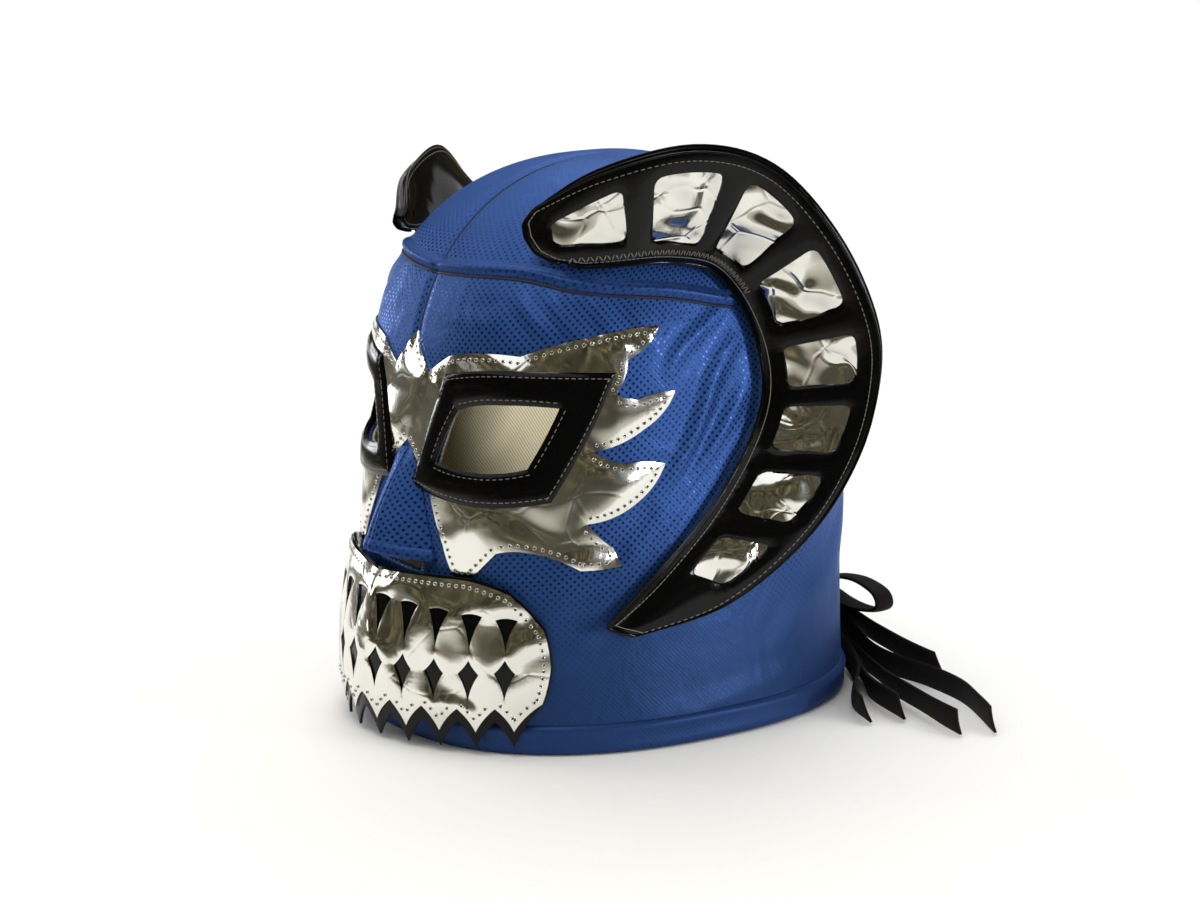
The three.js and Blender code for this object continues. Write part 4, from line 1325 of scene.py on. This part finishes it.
# %% The horn's two edges
HORN_LENGTH = 400
HORN_WIDTH = 50
HORN_SEAM_GAP = 2.0
HORN_BORDER = 10
HORN_INNER_EDGE = [
    (50, 207), (84, 209), (111, 209), (137, 204), (159, 190), (175, 168), (178, 145), (169, 121), (150, 97),
    (127, 76), (106, 56),
]
HORN_OUTER_EDGES = {
    "left": [
        (50, -70, 231), (79, -54, 251), (100, -20, 261), (110, 14, 251), (118, 42, 220), (122, 60, 182),
        (119, 63, 150), (113, 55, 118), (104, 35, 87), (95, 0, 62), (88, -45, 51),
    ],
    "right": [
        (50, -70, 219), (80, -50, 232), (108, -18, 238), (118, 2, 223), (124, 22, 197), (124, 38, 168),
        (121, 46, 140), (114, 42, 112), (104, 26, 85), (95, -5, 62), (88, -45, 51),
    ],
}
inner_walks = np.array(HORN_INNER_EDGE, float)
horn_inner = on_hood(inner_walks[:, 0], inner_walks[:, 1], np.full(len(inner_walks), HORN_SEAM_GAP))


def horn_surface(side):
    """The surface of one horn as a function of flat places, for the left side of the head."""
    outer = HORN_OUTER_EDGES[side]

    def skin(along, across):
        start, end = curve_through(horn_inner, along / HORN_LENGTH), curve_through(outer, along / HORN_LENGTH)
        share = np.reshape(across / HORN_WIDTH, (-1, 1))
        return start * (1 - share) + end * share

    def surface(along, across, distance):
        bow = 1.6 * np.sin(math.pi * np.clip(across / HORN_WIDTH, 0, 1))
        return skin(along, across) + outward(skin, along, across, 1.0) * np.reshape(distance + bow, (-1, 1))

    return surface


def horn_width(surface, along):
    """The bent horn's real width at places along it."""
    none = np.zeros(len(along))
    return np.linalg.norm(surface(along, none + HORN_WIDTH, none) - surface(along, none, none), axis=1)


widths = horn_width(horn_surface("left"), np.array([100.0, 200.0, 300.0]))
print("left horn's width along it:", widths.round().tolist(), "mm")

# %% The horn's outline and its windows, on the flat pattern
HORN_OUTLINE = (
    [(26, 0), (400, 0), (400, 20), (398, 50), (6, 50), (0, 42), (1, 28), (5, 14), (13, 5)]
)
HORN_WINDOWS = 8
HORN_WINDOW_START = 0.035
HORN_WINDOW_LENGTH = 0.088
HORN_WINDOW_SHRINK = 0.0035
HORN_RIB_LENGTH = 0.034


def rounded(corners, radius, steps=4):
    """A closed outline with its corners rounded off."""
    points = []
    corners = np.array(corners, float)
    for before, corner, after in zip(np.roll(corners, 1, 0), corners, np.roll(corners, -1, 0)):
        back, ahead = before - corner, after - corner
        reach = min(radius, np.hypot(*back) * 0.45, np.hypot(*ahead) * 0.45)
        start, end = corner + back / np.hypot(*back) * reach, corner + ahead / np.hypot(*ahead) * reach
        for step in range(steps + 1):
            t = step / steps
            points.append(start * (1 - t) ** 2 + 2 * corner * t * (1 - t) + end * t**2)
    return np.array(points)


def horn_windows(surface):
    """Windows that get shorter along the horn, with a border of even width when it is bent."""
    windows = []
    begin = HORN_WINDOW_START
    for window in range(HORN_WINDOWS):
        length = HORN_WINDOW_LENGTH - HORN_WINDOW_SHRINK * window
        alongs = np.array([begin, begin + length]) * HORN_LENGTH
        margins = HORN_BORDER / horn_width(surface, alongs) * HORN_WIDTH
        corners = [
            (alongs[0], margins[0]), (alongs[1], margins[1]), (alongs[1], HORN_WIDTH - margins[1]),
            (alongs[0], HORN_WIDTH - margins[0]),
        ]
        windows.append(rounded(corners, 5))
        begin += length + HORN_RIB_LENGTH
    return windows


print("windows in a horn:", HORN_WINDOWS)


# %% Layers, edge binding and stitches of each horn
def dense(outline, step=4.0):
    """The same outline with points added along its long edges."""
    points = []
    for start, end in zip(outline, np.roll(outline, -1, 0)):
        count = max(int(np.hypot(*(end - start)) / step), 1)
        points += [start + (end - start) * part / count for part in range(count)]
    return np.array(points)


def edge_binding(path, surface):
    """A rounded strip that wraps a horn's edge from its front face to its back."""
    path = dense(np.array(path, float), 3.0)
    bm = grid(len(path) - 1, 8)
    spots = places_of(bm)
    at = np.round(spots[:, 0] * (len(path) - 1)).astype(int)
    angle = (spots[:, 1] - 0.5) * math.pi * 1.15
    keep_flat_map(bm, np.stack([at * 3.0, spots[:, 1] * 9], 1))
    none = np.zeros(len(path))
    line = surface(path[:, 0], path[:, 1], none)
    out = unit(surface(path[:, 0], path[:, 1], none + 1) - line)
    ahead = unit(np.roll(line, -1, 0) - np.roll(line, 1, 0))
    ahead[0], ahead[-1] = ahead[1], ahead[-2]
    away = unit(np.cross(ahead, out))
    swell = np.stack([np.cos(angle), np.sin(angle)], 1)
    places = line[at] + away[at] * (swell[:, :1] * 1.5 - 0.2) + out[at] * (2.1 + 2.7 * swell[:, 1:])
    places[:, 1] += CENTRING_SHIFT
    move_to(bm, places * MM)
    return bm


def mirror_right(bm, side):
    """Moves a finished mesh to the wearer's right, with its faces still pointing out."""
    if side == "right":
        move_to(bm, places_of(bm) * (-1, 1, 1))
        bmesh.ops.reverse_faces(bm, faces=bm.faces)
    return bm


for side in ("left", "right"):
    surface = horn_surface(side)
    outline = dense(rounded(HORN_OUTLINE, 3), 5.0)
    windows = [dense(window, 4.0) for window in horn_windows(surface)]
    backing = mirror_right(sewn_piece([outline], surface, 1.6, 0, 1, step=5), side)
    finish_piece(f"horn_backing_{side}", backing, patent_vinyl, [f"horn_backing_{side}"], 1.6)
    sheet = dense(rounded([(16, 6), (390, 6), (390, 44), (10, 44)], 4), 5.0)
    foil = mirror_right(sewn_piece([sheet], surface, 2.4, 0.5, 4, step=4), side)
    finish_piece(f"horn_foil_{side}", foil, horn_foil, [f"horn_foil_{side}"], 0.6)
    overlay = mirror_right(sewn_piece([outline, *windows], surface, 3.9, 0.9, 2.0, step=3), side)
    finish_piece(
        f"horn_overlay_{side}", overlay, patent_vinyl, [f"horn_overlay_{side}"],
        thickness=1.2, bevel=0.3,
    )
    binding = mirror_right(edge_binding(outline[::-1], surface), side)
    finish_piece(f"horn_binding_{side}", binding, patent_vinyl, thickness=0.6)
    horn_stitch_bm = bmesh.new()
    spots, along = stitch_spots(outline, 3.4, 2.7, True)
    sew_along(horn_stitch_bm, surface, spots, along, 4.75, length=2.1, width=0.5)
    sew_along(horn_stitch_bm, surface, spots, along, -0.05, length=2.1, width=0.6)
    zigzag = np.array([(step * 2.0 + 20, 3.2 + 5.0 * (step % 2)) for step in range(70)])
    middles, slants = (zigzag[1:] + zigzag[:-1]) / 2, zigzag[1:] - zigzag[:-1]
    sew_along(horn_stitch_bm, surface, middles, slants / 5, 4.75, length=3.2, width=0.6)
    mirror_right(horn_stitch_bm, side)
    finish_piece(f"horn_stitches_{side}", horn_stitch_bm, grey_thread)

# %% [markdown]
# ## The lacing at the back
# The hood opens in a slit up the back and is drawn shut with one long tape, crossed between sewn
# holes and tied at the nape. The slit's edges are bound so that the holes don't tear. Strips and
# stitches, as used for the seams, make all of it except the knot, which is a ball drawn in at its
# waist.

# %% Bound edges, sewn holes and crossed tape
SLIT_TOP = 186
LACE_HOLE_WALK = 14
LACE_LOW = 27
LACE_PITCH = 31
LACE_CROSSINGS = 5


def on_back(across, height, distance):
    """The hood's surface measured from the middle of the back, + to the wearer's right."""
    half = np.interp(height, TABLE_HEIGHTS, half_girths)
    walk = np.where(across < 0, half - np.abs(across), np.abs(across) - half)
    return on_hood(walk, height, distance)


for side, name in ((-1, "left"), (1, "right")):
    edge_path = [(side * 8.5, height) for height in (2, 50, 100, 150, SLIT_TOP)]
    edge_bm = strip(edge_path, 9, [-0.8, 0.7, 0.9, 0.9, 0.7, -0.2], surface=on_back)
    finish_piece(f"slit_binding_{name}", edge_bm, seam_fabric, thickness=0.8)
top_path = [(-13, SLIT_TOP), (0, SLIT_TOP + 1), (13, SLIT_TOP)]
top_bm = strip(top_path, 8, [-0.2, 0.8, 1.0, 0.8, -0.2], surface=on_back)
finish_piece("slit_bar", top_bm, seam_fabric, thickness=0.8)

hole_bm = bmesh.new()
for level in range(LACE_CROSSINGS + 1):
    for side in (-1, 1):
        turns = np.linspace(0, 2 * math.pi, 14, endpoint=False)
        ring = np.stack([np.cos(turns), np.sin(turns)], 1)
        spots = ring * 3.2 + (side * LACE_HOLE_WALK, LACE_LOW + level * LACE_PITCH)
        sew_along(hole_bm, on_back, spots, ring, 1.1, length=2.6, width=1.1)
finish_piece("lace_holes", hole_bm, blue_thread)

lace_bm = bmesh.new()
for cross in range(LACE_CROSSINGS):
    low = LACE_LOW + cross * LACE_PITCH
    for side, lift in ((-1, 1.6), (1, 2.4)):
        across = side * LACE_HOLE_WALK
        path = [(-across, low), (0, low + LACE_PITCH / 2), (across, low + LACE_PITCH)]
        band = strip(path, 7, [lift, lift + 0.3, lift], surface=on_back, steps_per_mm=0.5)
        bmesh.ops.solidify(band, geom=band.faces[:], thickness=0.9 * MM)
        band_mesh = bpy.data.meshes.new("band")
        band.to_mesh(band_mesh)
        band.free()
        lace_bm.from_mesh(band_mesh)
        bpy.data.meshes.remove(band_mesh)
finish_piece("back_lace", lace_bm, lace_tape, ["back_lace"])

# %% The knot at the nape: a lump of tape with a band pulled round its waist
KNOT_PLACE = (2, 122.5, 24)
KNOT_SIZE = (10.5, 6.2, 8.5)
knot_bm = bmesh.new()
bmesh.ops.create_uvsphere(knot_bm, u_segments=48, v_segments=28, radius=1)
knot_places = places_of(knot_bm)
turns = np.arctan2(knot_places[:, 2], knot_places[:, 1])
waist = np.exp(-((knot_places[:, 0] / 0.28) ** 2))
folds = 0.05 * np.sin(5 * turns + 4 * knot_places[:, 0]) * (1 - waist)
band_rise = 0.1 * np.exp(-((knot_places[:, 0] / 0.2) ** 6))
knot_places = knot_places * (1 + folds - 0.16 * waist + band_rise)[:, None]
keep_flat_map(knot_bm, np.stack([turns * 7, knot_places[:, 0] * 10], 1))
knot_places = knot_places * KNOT_SIZE + KNOT_PLACE
knot_places[:, 1] += CENTRING_SHIFT
move_to(knot_bm, knot_places * MM)
finish_piece("lace_knot", knot_bm, lace_tape, ["lace_knot"])

# %% [markdown]
# ## Floor and light
# The mask stands on white paper in soft light. Mirror foil only looks like foil when it has
# something to mirror, so a dim brown room stands round the paper: eight walls, a piece of ceiling,
# and a floor beyond the paper's edge in front and at one side. The camera doesn't see them. They
# show only as reflections, so that the foil has a horizon between their brown and the white paper.
# A picture of a room could light the scene too, but cards can be moved one by one.

# %% The paper floor
# Matt white paper: no shine, and only a faint mottle
FLOOR_SIZE = 40
floor_material, floor_shader = new_material("white paper sweep", Roughness=0.75)
floor_place = add_node(floor_material, "ShaderNodeTexCoord").outputs["Object"]
paper = add_node(
    floor_material, "ShaderNodeTexNoise", {"Scale": 80.0, "Detail": 3.0}, {"Vector": floor_place},
)
paper_tone = add_node(
    floor_material, "ShaderNodeMix", {"data_type": "RGBA", 6: colour("F2F1EC"), 7: colour("F8F8F4")},
    {0: paper.outputs["Fac"]},
)
# Far from the mask the sweep is brightly lit paper with no shade on it
floor_distance = add_node(floor_material, "ShaderNodeVectorMath", {"operation": "LENGTH"}, {0: floor_place})
far_share = add_node(
    floor_material, "ShaderNodeMapRange",
    {"interpolation_type": "SMOOTHSTEP", "From Min": 0.4 / FLOOR_SIZE, "From Max": 3.0 / FLOOR_SIZE},
    {"Value": floor_distance.outputs["Value"]},
)
sweep_tone = add_node(
    floor_material, "ShaderNodeMix", {"data_type": "RGBA", 7: colour("FBFBF7")},
    {0: far_share.outputs[0], 6: paper_tone.outputs[2]},
)
feed(floor_material, floor_shader, Base_Color=sweep_tone.outputs[2])


def stage_card(name, width, height, place, facing, material, only_reflected=False, casts_shade=True):
    """A flat card of the set, which faces a point and isn't part of the mask."""
    bm = bmesh.new()
    bmesh.ops.create_grid(bm, x_segments=1, y_segments=1, size=0.5)
    mesh = bpy.data.meshes.new(name)
    bm.to_mesh(mesh)
    bm.free()
    mesh.materials.append(material)
    card = bpy.data.objects.new(name, mesh)
    card.scale = (width, height, 1)
    card.location = place
    card.rotation_euler = (Vector(facing) - Vector(place)).to_track_quat("Z", "Y").to_euler()
    card.visible_camera = not only_reflected
    card.visible_diffuse = casts_shade
    card.visible_shadow = casts_shade
    bpy.context.scene.collection.objects.link(card)
    card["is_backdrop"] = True
    return card


stage_card("floor", FLOOR_SIZE, FLOOR_SIZE, (0, 0, -0.0004), (0, 0, 1), floor_material)
print("floor:", FLOOR_SIZE, "m square")

# %% The room that the foil mirrors
MIDDLE = Vector((0, 0, 0.12))


def from_middle(azimuth, elevation, distance):
    """A place that is seen from the middle of the mask in a direction, given in degrees."""
    azimuth, elevation = math.radians(azimuth), math.radians(elevation)
    level = distance * math.cos(elevation)
    return MIDDLE + Vector((
        math.sin(azimuth) * level, -math.cos(azimuth) * level, distance * math.sin(elevation),
    ))


# Matt olive-brown paint with paler things before it, which the foil turns into broken patches
room_wall, room_shader = new_material("dim olive-brown room wall", Roughness=0.95)
room_place = add_node(room_wall, "ShaderNodeTexCoord").outputs["Object"]
room_patches = add_node(
    room_wall, "ShaderNodeTexNoise", {"Scale": 5.0, "Detail": 3.0, "Distortion": 0.4}, {"Vector": room_place},
)
patch_share = add_node(
    room_wall, "ShaderNodeMapRange", {"From Min": 0.32, "From Max": 0.68},
    {"Value": room_patches.outputs["Fac"]},
)
room_browns = add_node(
    room_wall, "ShaderNodeMix", {"data_type": "RGBA", 6: colour("0D0E09"), 7: colour("565139")},
    {0: patch_share.outputs[0]},
)
room_things = add_node(room_wall, "ShaderNodeTexNoise", {"Scale": 9.0, "Detail": 1.0}, {"Vector": room_place})
thing_share = add_node(
    room_wall, "ShaderNodeMapRange", {"From Min": 0.58, "From Max": 0.64, "To Max": 0.8},
    {"Value": room_things.outputs["Fac"]},
)
room_tone = add_node(
    room_wall, "ShaderNodeMix", {"data_type": "RGBA", 7: colour("A3946C")},
    {0: thing_share.outputs[0], 6: room_browns.outputs[2]},
)
# The upper edge of each wall, and the edge of the floor beside the paper, fade out in pale grey
room_height = add_node(room_wall, "ShaderNodeSeparateXYZ", links={"Vector": room_place}).outputs["Y"]
edge_share = add_node(
    room_wall, "ShaderNodeMapRange", {"interpolation_type": "SMOOTHSTEP", "From Min": 0.455, "From Max": 0.5},
    {"Value": room_height},
)
edge_tone = add_node(
    room_wall, "ShaderNodeMix", {"data_type": "RGBA", 7: colour("BDBAAE")},
    {0: edge_share.outputs[0], 6: room_tone.outputs[2]},
)
feed(room_wall, room_shader, Base_Color=edge_tone.outputs[2])
WALL_DISTANCE = 4.6
WALLS = [(-38, 2.9), (9, 2.9), (56, 3.5), (103, 7.4), (150, 7.4), (197, 3), (244, 3), (291, 3)]
for azimuth, wall_height in WALLS:
    wall_place = from_middle(azimuth, 0, WALL_DISTANCE)
    wall_place.z = wall_height / 2
    stage_card(
        f"room_wall_{azimuth + 90}", 4.03, wall_height, wall_place, (0, 0, wall_height / 2), room_wall,
        only_reflected=True, casts_shade=azimuth < 100,
    )
stage_card("room_ceiling", 2.2, 1.6, from_middle(118, 64, 2.4), MIDDLE, room_wall, only_reflected=True)
FLOOR_DEPTH = 4.2
SIDE_AZIMUTH = CAMERA_AZIMUTH - math.radians(100)
for name, azimuth, width, paper_edge in (
    ("room_floor_front", CAMERA_AZIMUTH, 6, 0.26),
    ("room_floor_side", SIDE_AZIMUTH, 1.6, 0.42),
):
    beyond = paper_edge + FLOOR_DEPTH / 2
    card_place = Vector((math.sin(azimuth) * beyond, -math.cos(azimuth) * beyond, 0.002))
    room_floor = stage_card(
        name, width, FLOOR_DEPTH, card_place, card_place + Vector((0, 0, 1)), room_wall,
        only_reflected=True, casts_shade=False,
    )
    room_floor.rotation_euler = (0, 0, azimuth)
print("walls of the room:", len(WALLS))


# %% Lamps and the pale room
def soft_lamp(name, azimuth, elevation, distance, size, power, tint="FFFFFF", beam=180):
    """An area lamp that faces the mask. A narrow beam, in degrees, keeps its light off the floor."""
    light = bpy.data.lights.new(name, "AREA")
    light.shape = "RECTANGLE"
    light.size, light.size_y = size
    light.spread = math.radians(beam)
    light.energy = power
    light.color = colour(tint)[:3]
    lamp = bpy.data.objects.new(name, light)
    lamp.location = from_middle(azimuth, elevation, distance)
    lamp.rotation_euler = (lamp.location - MIDDLE).to_track_quat("Z", "Y").to_euler()
    bpy.context.scene.collection.objects.link(lamp)


soft_lamp("key", 40, 66, 1.6, (0.6, 0.5), 6, "FFF8EE")
soft_lamp("window", 120, 4, 1.7, (0.24, 0.5), 1.25, "F4F7FF", beam=60)
soft_lamp("front window", -50, 16, 1.8, (0.34, 0.9), 0.5, "FFFDF6", beam=60)
soft_lamp("side window", -78, 3, 1.8, (0.5, 0.6), 0.7, "F4F7FF", beam=60)
soft_lamp("back", 225, 50, 1.8, (1.0, 0.9), 4)

lining_light = bpy.data.lights.new("light on the lining", "SPOT")
lining_light.energy = 1.2
lining_light.spot_size = math.radians(46)
lining_light.spot_blend = 0.8
lining_light.shadow_soft_size = 0.02
lining_lamp = bpy.data.objects.new("light on the lining", lining_light)
lining_lamp.location = (0.03, -0.05, 0.15)
LIT_LINING = Vector((-0.085, 0.055, 0.105))
lining_lamp.rotation_euler = (lining_lamp.location - LIT_LINING).to_track_quat("Z", "Y").to_euler()
bpy.context.scene.collection.objects.link(lining_lamp)

world = bpy.data.worlds.new("pale room")
bpy.context.scene.world = world
world.use_nodes = True
world.node_tree.nodes["Background"].inputs["Color"].default_value = colour("F2F3F5")
world.node_tree.nodes["Background"].inputs["Strength"].default_value = 1.36
bpy.context.scene.view_settings.view_transform = "Standard"

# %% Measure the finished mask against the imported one
visual_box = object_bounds()
for packed_corner, finished_corner in zip(cad_box, visual_box):
    print("packed:", [round(value / MM, 1) for value in packed_corner])
    print("finished:", [round(value / MM, 1) for value in finished_corner])
